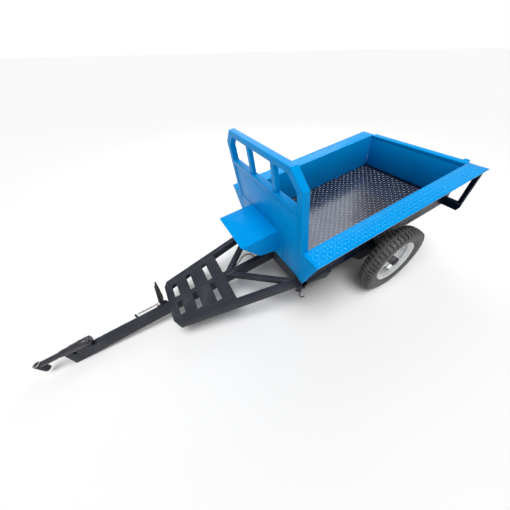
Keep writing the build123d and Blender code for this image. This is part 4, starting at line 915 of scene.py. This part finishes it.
@dataclass
class Headboard:
    """The tube frame round the headboard's windows, and the seat."""

    bench: Bench
    finishes: Finishes
    tube_rounding: float = 0.0045
    seat_corner: float = 0.014
    seat_rounding: float = 0.0012
    bead_radius: float = 0.0026
    mitre_inset: float = 0.004
    mitre_rise: float = 0.002
    divider_inset: float = 0.002
    sill_inset: float = 0.003
    sill_setback: float = 0.001
    seat_seams: tuple[float, ...] = (0.02, 0.11, 0.19)
    seat_seam: float = 0.03
    seat_foot: tuple[float, float] = (0.12, 0.18)

    def build(self) -> None:
        """Makes the frame, the seat and their weld seams."""
        self.tube_frame()
        self.seat()
        self.seams()

    def mitres(self) -> list[tuple[Vector, Vector]]:
        """Outer and inner corner of each cut through the left half of the frame, from the foot up."""
        posts = [point for point in self.bench.level_points("headboard_posts") if point.y > 0]
        tops = [point for point in self.bench.level_points("headboard_top") if point.y > 0]
        outer_y = max(point.y for point in posts)
        inner_y = min(point.y for point in posts)
        foot = min(point.z for point in posts)
        shoulder = max(point.z for point in posts)
        neck = max(point.z for point in posts if point.y < inner_y + LEVEL_GAP)
        crown_z = max(point.z for point in tops)
        crown_y = max(point.y for point in tops if point.z > crown_z - LEVEL_GAP)
        bar = self.bench.level_box("headboard_dividers")[1].z
        bar_y = max(point.y for point in tops if abs(point.z - bar) < LEVEL_GAP)
        return [(Vector((0, outer_y, foot)), Vector((0, inner_y, foot))),
                (Vector((0, outer_y, shoulder)), Vector((0, inner_y, neck))),
                (Vector((0, crown_y, crown_z)), Vector((0, bar_y, bar)))]

    @staticmethod
    def at_corner(vertex: bpy.types.MeshVertex, corner: Vector) -> bool:
        """Whether a vertex lies at a cut's corner, whatever its X."""
        return (Vector((0, vertex.co.y, vertex.co.z)) - corner).length < CORNER_GAP

    def tube_frame(self) -> None:
        """One tube up the left post, over the bevels and the bar, and down the right post."""
        low, high = self.bench.level_box("headboard_posts")
        left = self.mitres()
        right = [tuple(Vector((0, -corner.y, corner.z)) for corner in cut) for cut in reversed(left)]
        cuts = left + right
        frame = self.bench.primitive("headboard_frame", "plane", (0.0, 0.0, 0.0), size=0.01)
        for vertex, (x, side) in zip(frame.data.vertices, ((low.x, 0), (high.x, 0), (low.x, 1), (high.x, 1))):
            vertex.co = Vector((x, cuts[0][side].y, cuts[0][side].z))
        for before, after in zip(cuts, cuts[1:]):
            with self.bench.editing(frame, "VERT"):
                bpy.ops.mesh.select_all(action="DESELECT")
            for vertex in frame.data.vertices:
                vertex.select = any(self.at_corner(vertex, corner) for corner in before)
            with self.bench.editing(frame, "VERT"):
                bpy.ops.mesh.extrude_region_move(TRANSFORM_OT_translate={"value": (0.0, 0.0, 0.0)})
            for vertex in (vertex for vertex in frame.data.vertices if vertex.select):
                side = 0 if self.at_corner(vertex, before[0]) else 1
                vertex.co = Vector((vertex.co.x, after[side].y, after[side].z))
        with self.bench.editing(frame, "VERT"):
            bpy.ops.mesh.select_all(action="SELECT")
            bpy.ops.mesh.remove_doubles(threshold=MERGE_GAP)
            bpy.ops.mesh.normals_make_consistent(inside=False)
        self.bench.pick_edges(frame, lambda a, b: abs(a.x - b.x) < MERGE_GAP and (a - b).length > 0.05)
        with self.bench.editing(frame, "EDGE"):
            bpy.ops.mesh.bevel(offset=self.tube_rounding, segments=4, affect="EDGES")
        self.bench.soften(frame, 0.0)
        self.bench.dress(self.bench.stand(frame), Body.TRAY.value, Slot.BLUE, self.finishes.blue,
                         "headboard_posts", "headboard_top")

    def seat(self) -> None:
        """Seat plate with rounded front corners."""
        low, high = self.bench.level_box("seat_plate")
        middle = (low + high) / 2
        plate = self.bench.primitive("seat_plate_skin", "cube", middle, size=1.0, scale=tuple(high - low))
        self.bench.pick_edges(plate, lambda a, b: abs(a.z - b.z) > 0.001 and a.x > middle.x)
        with self.bench.editing(plate, "EDGE"):
            bpy.ops.mesh.bevel(offset=self.seat_corner, segments=6, affect="EDGES")
        self.bench.soften(plate, self.seat_rounding, 2)
        self.bench.dress(self.bench.stand(plate), Body.TRAY.value, Slot.BLUE, self.finishes.blue, "seat_plate")

    def seams(self) -> None:
        """Painted weld seams round the frame, the sill, the dividers and the seat."""
        welder = Welder(self.bench, radius=self.bead_radius, dice=random.Random(3))
        low, high = self.bench.level_box("headboard_posts")
        inset, rise, runs = self.mitre_inset, self.mitre_rise, []
        for outer, inner in self.mitres()[1:]:
            for side in (-1, 1):
                for x in (low.x, high.x):
                    runs.append(((x, side * (outer.y - inset), outer.z - rise),
                                 (x, side * (inner.y + inset), inner.z + rise), 0.5))
        low, high = self.bench.level_box("headboard_dividers")
        for y in sorted({round(point.y, 4) for point in self.bench.level_points("headboard_dividers")}):
            for z in (low.z, high.z):
                runs.append(((low.x + self.divider_inset, y, z), (high.x - self.divider_inset, y, z), 0.7))
        low, high = self.bench.level_box("headboard_ledge")
        inset, front = self.sill_inset, high.x - self.sill_setback
        for side in (-1, 1):
            y = side * high.y
            runs += [((front, y, low.z + inset), (front, y, high.z - inset), 0.7),
                     ((low.x + inset, y, high.z), (high.x - inset, y, high.z), 0.7)]
        low, high = self.bench.level_box("seat_sides")
        for y in (low.y, high.y):
            for start in self.seat_seams:
                runs.append(((start, y, high.z), (start + self.seat_seam, y, high.z), 0.8))
            foot, top = self.seat_foot
            runs.append(((low.x, y, foot), (low.x, y, top), 0.8))
        self.bench.dress(welder.lay("headboard_welds", runs), Body.TRAY.value, Slot.BLUE, self.finishes.blue)


@dataclass
class Chassis:
    """Weld seams of the A-frame, the drawbar and the hitch."""

    bench: Bench
    finishes: Finishes
    bush_rim: float = 0.0016
    bush_wall: float = 0.003
    bush_rounding: float = 0.0006
    bead_radius: float = 0.0036
    seam_drop: float = 0.001
    brace_foot: float = 0.06        # a brace's rear end lies this near its widest
    plate_seam: float = 0.045
    end_inset: float = 0.004
    sleeve_start: float = 0.005
    sleeve_stop: float = 0.045
    sleeve_lap: float = 0.98        # share of the drawbar's half width
    nose_lap: float = 0.96
    cap_inset: float = 0.003
    cross_inset: float = 0.006
    cross_foot: float = 0.03
    lug_seam: Point = (0.016, 0.3935, -0.054)

    def build(self) -> None:
        """Lays the chassis' beads and makes the tow bush."""
        self.bush()
        welder = Welder(self.bench, radius=self.bead_radius, dice=random.Random(5))
        runs = self.brace_runs() + self.drawbar_runs() + self.under_runs()
        self.bench.dress(welder.lay("chassis_welds", runs), Body.CHASSIS.value, Slot.BLACK, self.finishes.weld)

    def bush(self) -> None:
        """Tow bush, painted outside and bare on its ends and in its bore."""
        low, high = self.bench.level_box("tow_bush")
        bush = self.bench.copy_of("tow_bush", "tow_bush_skin")
        self.bench.soften(bush, self.bush_rounding)
        inverse = self.bench.matrix.inverted()
        middle, bore = (low + high) / 2, (high.y - low.y) / 2 - self.bush_wall

        def choose(place: Vector, normal: Vector) -> int:
            """Bare on the ends and in the bore, painted outside."""
            place = inverse @ place - middle
            return int(math.hypot(place.x, place.y) < bore or abs(place.z) > (high.z - low.z) / 2 - self.bush_rim)

        self.bench.paint(bush, (self.finishes.black, self.finishes.zinc), choose)
        self.bench.dress(bush, Body.EYE.value, Slot.BLACK, self.finishes.black, "tow_bush")

    def brace_runs(self) -> list[Run]:
        """Seams over the braces' two ends."""
        high = self.bench.level_box("braces")[1]
        z = high.z - self.seam_drop
        points = [point for point in self.bench.level_points("braces") if point.y > 0 and point.z > z]
        half = self.bench.level_box("drawbar")[1].y + self.seam_drop
        front = sorted((point for point in points if point.y < half), key=lambda point: point.x)
        back = sorted((point for point in points if point.y > high.y - self.brace_foot), key=lambda point: point.x)
        return [((row[0].x, side * row[0].y, z), (row[-1].x, side * row[-1].y, z))
                for side in (-1, 1) for row in (front, back)]

    def drawbar_runs(self) -> list[Run]:
        """Seams along the drawbar, the footplate, the nose and the saddle."""
        bar_low, bar = self.bench.level_box("drawbar")
        plate_low, plate = self.bench.level_box("footplate")
        nose = self.bench.level_box("hitch_nose")[1]
        sleeve_low, sleeve = self.bench.level_box("swivel_sleeve")
        first, stop, inset = sleeve_low.x + self.sleeve_start, bar.x - self.sleeve_stop, self.end_inset
        runs = []
        for side in (-1, 1):
            y = side * bar.y
            for start in (plate_low.x + 0.01, plate_low.x + 0.17, plate.x - 0.05):
                runs.append(((start, y, bar.z), (start + self.plate_seam, y, bar.z), 0.8))
            runs.append(((bar.x, y, bar_low.z + inset), (bar.x, y, bar.z - inset), 0.8))
            lap, z = y * self.sleeve_lap, bar.z + self.seam_drop
            runs.append(((first, lap, z), (stop, lap, z), 0.9))
            lap = y * self.nose_lap
            runs.append(((first, lap, nose.z), (stop, lap, nose.z), 1.1))
            runs.append(((bar.x + self.sleeve_start, lap, nose.z), (sleeve.x - inset, lap, nose.z), 1.0))
        y = bar.y - self.cap_inset
        runs.append(((bar.x, -y, bar.z), (bar.x, y, bar.z), 0.8))
        return runs

    def under_runs(self) -> list[Run]:
        """Seams of the cross members, the brackets and the latch lugs."""
        cross_low, cross = self.bench.level_box("front_cross_member")
        bracket = self.bench.level_box("axle_brackets")[1]
        low, high = self.bench.level_box("axle_beam")
        inset, (lug_x, lug_y, lug_z) = self.end_inset, self.lug_seam
        runs = []
        for side in (-1, 1):
            y = side * (cross.y - self.cross_inset)
            for x in (cross_low.x, cross.x):
                runs.append(((x, y, cross_low.z + self.cross_foot), (x, y, cross.z - inset)))
            y = side * bracket.y
            for x in (low.x, high.x):
                runs.append(((x, y, low.z + inset), (x, y, high.z - inset)))
            for z in (low.z, high.z):
                runs.append(((low.x + inset, y, z), (high.x - inset, y, z)))
            runs.append(((-lug_x, side * lug_y, lug_z), (lug_x, side * lug_y, lug_z), 0.8))
        return runs


@dataclass
class Tailgate:
    """The gate's sheet, with the crease down its middle, and its seams."""

    bench: Bench
    finishes: Finishes
    crease_place: float = 0.06
    crease_half_width: float = 0.012
    crease_depth: float = 0.0016
    sheet_rounding: float = 0.0008
    seam_starts: tuple[float, ...] = (-0.35, -0.17, 0.02, 0.2, 0.33)
    seam: float = 0.03
    bead_radius: float = 0.0024

    def build(self) -> None:
        """Makes the sheet and its welds."""
        low, high = self.bench.level_box("tailgate_panel")
        panel = self.bench.primitive("tailgate_sheet", "cube", (low + high) / 2, size=1.0, scale=tuple(high - low))
        for place in (-self.crease_half_width, 0.0, self.crease_half_width):
            with self.bench.editing(panel, "VERT"):
                bpy.ops.mesh.select_all(action="SELECT")
                bpy.ops.mesh.bisect(plane_co=(0.0, self.crease_place + place, 0.0), plane_no=(0.0, 1.0, 0.0))
        for vertex in panel.data.vertices:
            if abs(vertex.co.y - self.crease_place) < MERGE_GAP:
                vertex.co.x -= self.crease_depth
        self.bench.soften(panel, self.sheet_rounding, 2)
        self.bench.dress(self.bench.stand(panel), Body.TAILGATE.value, Slot.BLUE, self.finishes.blue,
                         "tailgate_panel")
        welder = Welder(self.bench, radius=self.bead_radius, dice=random.Random(9))
        runs = [((low.x, start, high.z), (low.x, start + self.seam, high.z), 0.9) for start in self.seam_starts]
        self.bench.dress(welder.lay("tailgate_welds", runs), Body.TAILGATE.value, Slot.BLUE, self.finishes.blue)


@dataclass
class Pedal:
    """Ribbed pedal pad and its return spring."""

    bench: Bench
    finishes: Finishes
    ribs: int = 9
    rib_height: float = 0.0022
    pad_rounding: float = 0.0015
    wire: float = 0.00105
    coil_turns: int = 44
    coil_steps: int = 12
    hook_length: float = 0.012

    def build(self) -> None:
        """Makes the pad and the spring."""
        self.pad()
        self.spring()

    def pad(self) -> None:
        """Pad with ribs across its face."""
        points = self.bench.level_points("pedal_pad")
        low, high = self.bench.level_box("pedal_pad")
        foot = min((point for point in points if point.z < low.z + 0.001), key=lambda point: point.x)
        top = min((point for point in points if point.z > high.z - 0.001), key=lambda point: point.x)
        lean = math.atan2(top.x - foot.x, top.z - foot.z)
        pad = self.bench.copy_of("pedal_pad", "pedal_pad_skin")
        self.bench.soften(pad, self.pad_rounding, 2)
        middle_y = (low.y + high.y) / 2
        width = high.y - low.y - 0.008
        pieces = [pad]
        for index in range(self.ribs):
            share = (index + 0.7) / (self.ribs + 0.4)
            place = foot.lerp(top, share)
            place.y = middle_y
            rib = self.bench.primitive(f"rib_{index}", "cube", place, turn=(0.0, lean, 0.0), size=1.0,
                                       scale=(2 * self.rib_height, width, 0.006))
            self.bench.soften(rib, 0.0012, 2)
            pieces.append(self.bench.stand(rib))
        pad = self.bench.join("pedal_pad_skin", pieces)
        self.bench.dress(pad, Body.PEDAL.value, Slot.BLACK, self.finishes.soft_black, "pedal_pad")

    def spring(self) -> None:
        """Coil with a hook at each end."""
        low, high = self.bench.level_box("pedal_spring")
        middle = (low + high) / 2
        radius = (high.z - low.z) / 2 - self.wire
        start, end = low.x + self.hook_length, high.x - self.hook_length
        path = [(Vector((low.x - 0.004, middle.y, middle.z)), self.wire),
                (Vector((start - 0.002, middle.y, middle.z)), self.wire)]
        total = self.coil_turns * self.coil_steps
        for index in range(total + 1):
            angle = math.tau * index / self.coil_steps
            swell = min(1.0, 0.3 + 0.12 * min(index, total - index))
            path.append((Vector((start + (end - start) * index / total, middle.y + swell * radius * math.cos(angle),
                                 middle.z + swell * radius * math.sin(angle))), self.wire))
        path.append((Vector((end + 0.002, middle.y, middle.z)), self.wire))
        path.append((Vector((high.x + 0.003, middle.y, middle.z)), self.wire))
        coil = self.bench.stand(self.bench.rope("pedal_spring_coil", [path], 1))
        self.bench.smooth(coil, ROUND_ANGLE)
        coil.data.materials.append(self.finishes.zinc)
        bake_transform(coil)
        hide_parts("pedal_spring")


@dataclass
class Wheel:
    """One wheel: treaded tyre, dished rim, hub, cap and nuts."""

    bench: Bench
    finishes: Finishes
    side: int
    pitches: int = 52
    columns: int = 7
    groove_depth: float = 0.0085
    shoulder_depth: float = 0.0185
    rib_half_width: float = 0.0085
    tread_half_width: float = 0.0475
    slant: float = 0.016
    hook: float = 0.0042
    stud_count: int = 4
    nut_size: float = 0.019
    nut_height: float = 0.010
    stud_circle: float = 0.055
    washer: float = 0.002
    disc_half: float = 0.002        # the wheel disc's middle to its face
    head_place: float = -0.024
    valve_circle: float = 0.118
    rim_steps: int = 96
    rim_wall: float = 0.0032
    ring_radius: float = 0.2463     # the groove round each shoulder
    ring_half: float = 0.0028
    ring_depth: float = 0.0016
    tread_reach: float = 0.03       # how far in from the tread it is swayed

    def __post_init__(self) -> None:
        """Finds the wheel's names, centre and directions from the frame."""
        self.name = "left" if self.side > 0 else "right"
        low, high = self.bench.level_box(f"{self.name}_tyre")
        self.centre = (low + high) / 2
        self.radius = (high.z - low.z) / 2
        self.half_width = (high.y - low.y) / 2
        self.body = f"{self.name}_wheel"
        self.out = (0.0, float(self.side), 0.0)

    def build(self) -> None:
        """Makes the wheel's pieces."""
        self.tyre()
        self.rim()
        self.hub()
        self.nuts()

    def tyre_outline(self) -> list[tuple[float, float]]:
        """Radius and offset round the carcass, from one bead over the tread to the other, and back inside."""
        half, top = self.half_width, self.radius
        shoulder = self.tread_half_width
        outer = [(0.1725, 0.0375), (0.1765, 0.0405), (0.181, 0.0405), (0.186, 0.0445), (0.196, 0.0500),
                 (0.210, half - 0.0012), (0.222, half), (0.234, half - 0.0012), (0.243, half - 0.0034),
                 (0.2495, half - 0.0042), (top - 0.0135, half - 0.0046), (top - 0.0098, shoulder + 0.0008)]
        tread = []
        steps = 26
        for index in range(steps + 1):
            offset = shoulder * (1 - 2 * index / steps)
            tread.append((top - 0.0085 * abs(offset / shoulder) ** 2.6, offset))
        inner = [(0.1725, 0.0295), (0.195, 0.0375), (0.222, half - 0.012), (0.244, half - 0.018), (top - 0.018, 0.02)]
        outside = outer + tread + [(radius, -offset) for radius, offset in reversed(outer)]
        inside = [(radius, -offset) for radius, offset in inner] + list(reversed(inner))
        return outside + inside

    def sway(self, offset: float) -> float:
        """How far round the tyre the tread is drawn at one offset, in metres."""
        reach = self.tread_half_width - self.rib_half_width
        share = min(1.0, max(0.0, (abs(offset) - self.rib_half_width) / reach))
        curve = self.slant * (share - 0.5) + self.hook * math.sin(math.tau * share)
        stagger = math.pi * self.radius / self.pitches if offset < 0 else 0.0
        return math.copysign(1.0, offset) * curve + stagger

    def tyre(self) -> None:
        """Spins the carcass, sinks the grooves and sways them into S shapes."""
        steps = self.pitches * self.columns
        tyre = self.bench.lathe(f"{self.name}_tyre_treaded", self.tyre_outline(), self.centre, (0.0, 1.0, 0.0), steps)
        step = math.tau / steps

        def radius_of(place: Vector) -> float:
            """Distance from the axle."""
            return math.hypot(place.x - self.centre.x, place.z - self.centre.z)

        def turn_of(place: Vector) -> float:
            """Angle round the axle."""
            return math.atan2(place.x - self.centre.x, place.z - self.centre.z)

        def in_groove(place: Vector, normal: Vector) -> bool:
            """Whether a face sinks into a groove."""
            offset = abs(place.y - self.centre.y)
            column = int(math.floor(turn_of(place) / step)) % self.columns
            return (column < 2 and radius_of(place) > self.radius - self.shoulder_depth
                    and self.rib_half_width < offset < self.half_width)

        self.bench.pick(tyre, in_groove)
        with self.bench.editing(tyre):
            bpy.ops.mesh.extrude_region_shrink_fatten(TRANSFORM_OT_shrink_fatten={"value": -self.groove_depth})

        def in_shoulder_ring(place: Vector, normal: Vector) -> bool:
            """Whether a face sinks into the ring groove of a shoulder."""
            return (abs(radius_of(place) - self.ring_radius) < self.ring_half
                    and abs(place.y - self.centre.y) > self.tread_half_width)

        self.bench.pick(tyre, in_shoulder_ring)
        with self.bench.editing(tyre):
            bpy.ops.mesh.extrude_region_shrink_fatten(TRANSFORM_OT_shrink_fatten={"value": -self.ring_depth})
        for vertex in tyre.data.vertices:
            offset = vertex.co.y - self.centre.y
            arm = Vector((vertex.co.x - self.centre.x, 0.0, vertex.co.z - self.centre.z))
            if arm.length < self.radius - self.tread_reach:
                continue
            arm.rotate(Euler((0.0, self.sway(offset) / self.radius, 0.0)))
            vertex.co = Vector((self.centre.x + arm.x, vertex.co.y, self.centre.z + arm.z))
        self.bench.smooth(tyre, TREAD_ANGLE)
        self.bench.dress(self.bench.stand(tyre), self.body, Slot.TYRE, self.finishes.rubber, f"{self.name}_tyre")

    def rim(self) -> None:
        """Dished rim with a rolled lip, and its valve."""
        low, high = self.bench.level_box(f"{self.name}_rim")
        lip = (high.z - low.z) / 2
        edge = (high.y - low.y) / 2
        disc = self.disc_offset()
        outline = [(lip - 0.0015, edge - 0.0060), (lip, edge - 0.0026), (lip - 0.0020, edge - 0.0004),
                   (lip - 0.0060, edge - 0.0016), (lip - 0.0120, edge - 0.0050), (lip - 0.0175, edge - 0.0105),
                   (lip - 0.0190, 0.0270), (lip - 0.0235, 0.0215), (lip - 0.0285, 0.0170), (lip - 0.0295, 0.0080),
                   (lip - 0.0300, disc + 0.0090), (lip - 0.0335, disc + 0.0030), (lip - 0.0410, disc),
                   (0.1130, disc), (0.1080, disc + 0.0024), (0.1020, disc + 0.0034), (0.0860, disc + 0.0034),
                   (0.0800, disc + 0.0018), (0.0760, disc), (0.0345, disc)]
        spin = (self.centre, self.out, self.rim_steps, self.rim_wall)
        dish = self.bench.lathe(f"{self.name}_rim_dish", outline, *spin)
        back = [(lip - 0.0295, 0.0085), (lip - 0.0290, -0.0200), (lip - 0.0240, -0.0245), (lip - 0.0195, -0.0290),
                (lip - 0.0185, -0.0350), (lip - 0.0120, -edge + 0.0050), (lip - 0.0030, -edge + 0.0012),
                (lip - 0.0005, -edge + 0.0030)]
        barrel = self.bench.lathe(f"{self.name}_rim_barrel", back, *spin)
        valve = self.valve(disc)
        rim = self.bench.join(f"{self.name}_rim_dished", [dish, barrel])
        self.bench.smooth(rim)
        self.bench.dress(self.bench.stand(rim), self.body, Slot.WHEEL, self.finishes.silver, f"{self.name}_rim")
        self.bench.dress(self.bench.stand(valve), self.body, Slot.WHEEL, self.finishes.soft_black)

    def disc_offset(self) -> float:
        """How far out the wheel disc lies from the wheel's centre plane."""
        flange = [point for point in self.bench.level_points(f"{self.name}_hub")
                  if math.hypot(point.x - self.centre.x, point.z - self.centre.z) > 0.07]
        return max(self.side * (point.y - self.centre.y) for point in flange) + self.disc_half

    def valve(self, disc: float) -> bpy.types.Object:
        """Valve stem with its rubber foot and cap."""
        outline = [(0.0001, disc - 0.010), (0.0062, disc - 0.010), (0.0068, disc - 0.003), (0.0068, disc + 0.003),
                   (0.0046, disc + 0.010), (0.0033, disc + 0.015), (0.0033, disc + 0.022), (0.0040, disc + 0.0225),
                   (0.0040, disc + 0.0310), (0.0030, disc + 0.0325), (0.0001, disc + 0.0325)]
        place = self.centre + Vector((0.0, 0.0, -self.valve_circle))
        valve = self.bench.lathe(f"{self.name}_valve", outline, place, self.out, 20)
        self.bench.smooth(valve)
        return valve

    def hub(self) -> None:
        """Cast hub with a ribbed flange, and its pressed cap."""
        hub = self.bench.copy_of(f"{self.name}_hub", f"{self.name}_hub_cast")
        self.bench.soften(hub, 0.0018, 3)
        self.bench.dress(hub, self.body, Slot.WHEEL, self.finishes.casting, f"{self.name}_hub")
        low, high = self.bench.level_box(f"{self.name}_hub_cap")
        near, far = ((low.y, high.y) if self.side > 0 else (high.y, low.y))
        start, end = abs(near - self.centre.y), abs(far - self.centre.y)
        radius = (high.z - low.z) / 2
        outline = [(radius, start), (radius, start + 0.0030), (radius - 0.0018, start + 0.0042),
                   (radius - 0.0022, end - 0.0060), (radius - 0.0040, end - 0.0028), (radius - 0.0085, end - 0.0008),
                   (radius - 0.0140, end), (0.0001, end), (0.0001, start)]
        cap = self.bench.lathe(f"{self.name}_hub_cap_pressed", outline, self.centre, self.out, 48)
        self.bench.smooth(cap)
        self.bench.dress(self.bench.stand(cap), self.body, Slot.BLACK, self.finishes.black, f"{self.name}_hub_cap")

    def nuts(self) -> None:
        """Wheel nuts with washers and stud ends."""
        low, high = self.bench.level_box(f"{self.name}_wheel_nuts")
        disc = self.disc_offset() + self.disc_half
        reach = max(self.side * (corner.y - self.centre.y) for corner in (low, high))
        parts = (("washer", disc + self.washer / 2, 24, 0.0135, self.washer, 0.0005, 2),
                 ("nut", disc + self.washer + self.nut_height / 2, 6, self.nut_size / math.sqrt(3), self.nut_height,
                  0.0012, 3),
                 ("stud", (disc + reach) / 2, 20, 0.0058, reach - disc, 0.0009, 2),
                 ("head", self.head_place, 20, 0.0078, 0.0040, 0.0008, 2))
        pieces = []
        for index in range(self.stud_count):
            angle = math.tau * (index + 0.5) / self.stud_count
            spot = self.centre + Vector((self.stud_circle * math.cos(angle), 0.0,
                                         self.stud_circle * math.sin(angle)))
            for name, offset, sides, radius, depth, rounding, segments in parts:
                place = spot + Vector((0.0, self.side * offset, 0.0))
                piece = self.bench.primitive(name, "cylinder", place, (math.radians(90), 0.0, 0.0),
                                             vertices=sides, radius=radius, depth=depth)
                self.bench.soften(piece, rounding, segments)
                pieces.append(piece)
        nuts = self.bench.join(f"{self.name}_nuts_and_washers", pieces)
        self.bench.dress(self.bench.stand(nuts), self.body, Slot.STEEL, self.finishes.zinc,
                         f"{self.name}_wheel_nuts")


@dataclass
class Studio:
    """Pale floor, soft light and the camera, which is placed against the level cart."""

    bench: Bench
    camera_place: Point = (0.44758, 0.99859, 1.13761)
    camera_turn: Point = (0.729187, 0.133891, 2.623882)
    lens: float = 14.655
    shift: tuple[float, float] = (-0.01657, -0.00464)
    floor_size: float = 400.0
    dome: float = 0.3
    horizon: float = 1.0
    band_top: float = 0.13
    sun_power: float = 3.1
    sun_width: float = math.radians(38)
    sun_lean: Point = (-0.2, 0.16, 0.0)
    card_heading: float = math.radians(-119)
    card_rise: float = math.radians(43)
    card_distance: float = 3.6
    card_size: float = 2.7
    card_power: float = 42.0
    card_middle: Point = (-0.4, 0.0, 0.3)
    floor_tone: Colour = (0.74, 0.74, 0.74)
    view_end: float = 200.0

    def build(self) -> None:
        """Sets up the floor, the light and the camera."""
        self.floor()
        self.dome_light()
        self.lamps()
        self.camera()

    def floor(self) -> None:
        """Plain pale floor."""
        bpy.ops.object.select_all(action="DESELECT")
        bpy.ops.mesh.primitive_plane_add(size=self.floor_size)
        floor = bpy.context.view_layer.objects.active
        floor.name = "studio_floor"
        sheet = Sheet("studio_white")
        floor.data.materials.append(sheet.finish(Base_Color=self.floor_tone, Roughness=1.0,
                                                 Specular_IOR_Level=0.0))

    def dome_light(self) -> None:
        """Faint dome with a bright band round the horizon."""
        world = bpy.data.worlds.new("studio_dome")
        world.use_nodes = True
        nodes, links = world.node_tree.nodes, world.node_tree.links
        place = nodes.new("ShaderNodeTexCoord")
        split = nodes.new("ShaderNodeSeparateXYZ")
        fade = nodes.new("ShaderNodeMapRange")
        links.new(place.outputs["Generated"], split.inputs[0])
        links.new(split.outputs["Z"], fade.inputs["Value"])
        for name, value in (("From Min", self.band_top), ("From Max", 2 * self.band_top), ("To Min", self.horizon),
                            ("To Max", self.dome)):
            fade.inputs[name].default_value = value
        links.new(fade.outputs[0], nodes["Background"].inputs["Strength"])
        nodes["Background"].inputs["Color"].default_value = (1.0, 1.0, 1.0, 1.0)
        bpy.context.scene.world = world

    def lamps(self) -> None:
        """Wide overhead sun, and a white card that the glossy tops reflect."""
        sun = bpy.data.lights.new("overhead", "SUN")
        sun.energy = self.sun_power
        sun.angle = self.sun_width
        overhead = bpy.data.objects.new("overhead", sun)
        overhead.rotation_euler = self.sun_lean
        bpy.context.scene.collection.objects.link(overhead)
        card = bpy.data.lights.new("card", "AREA")
        card.size = self.card_size
        card.energy = self.card_power
        light = bpy.data.objects.new("card", card)
        level = self.card_distance * math.cos(self.card_rise)
        away = Vector((level * math.cos(self.card_heading), level * math.sin(self.card_heading),
                       self.card_distance * math.sin(self.card_rise)))
        light.location = away + Vector(self.card_middle)
        light.rotation_euler = (-away).to_track_quat("-Z", "Y").to_euler()
        bpy.context.scene.collection.objects.link(light)

    def camera(self) -> None:
        """The camera, high on the cart's front left."""
        data = bpy.data.cameras.new("camera")
        data.lens = self.lens
        data.sensor_width = 36.0
        data.shift_x, data.shift_y = self.shift
        data.clip_end = self.view_end
        camera = bpy.data.objects.new("camera", data)
        camera.location = self.bench.matrix @ Vector(self.camera_place)
        turn = self.bench.matrix.to_3x3() @ Euler(self.camera_turn).to_matrix()
        camera.rotation_euler = turn.to_euler()
        bpy.context.scene.collection.objects.link(camera)
        bpy.context.scene.camera = camera
        bpy.context.scene.view_settings.view_transform = "Standard"


def main() -> None:
    """Builds the cart round its frame."""
    logging.basicConfig(level=logging.INFO, format="%(name)s: %(message)s")
    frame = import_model()
    bench = Bench(frame)
    finishes = Finishes()
    Studio(bench).build()
    Bodywork(bench, finishes).build()
    Tray(bench, finishes).build()
    Headboard(bench, finishes).build()
    Chassis(bench, finishes).build()
    Tailgate(bench, finishes).build()
    Pedal(bench, finishes).build()
    for side in (1, -1):
        Wheel(bench, finishes, side).build()


if __name__ == "__main__":
    main()
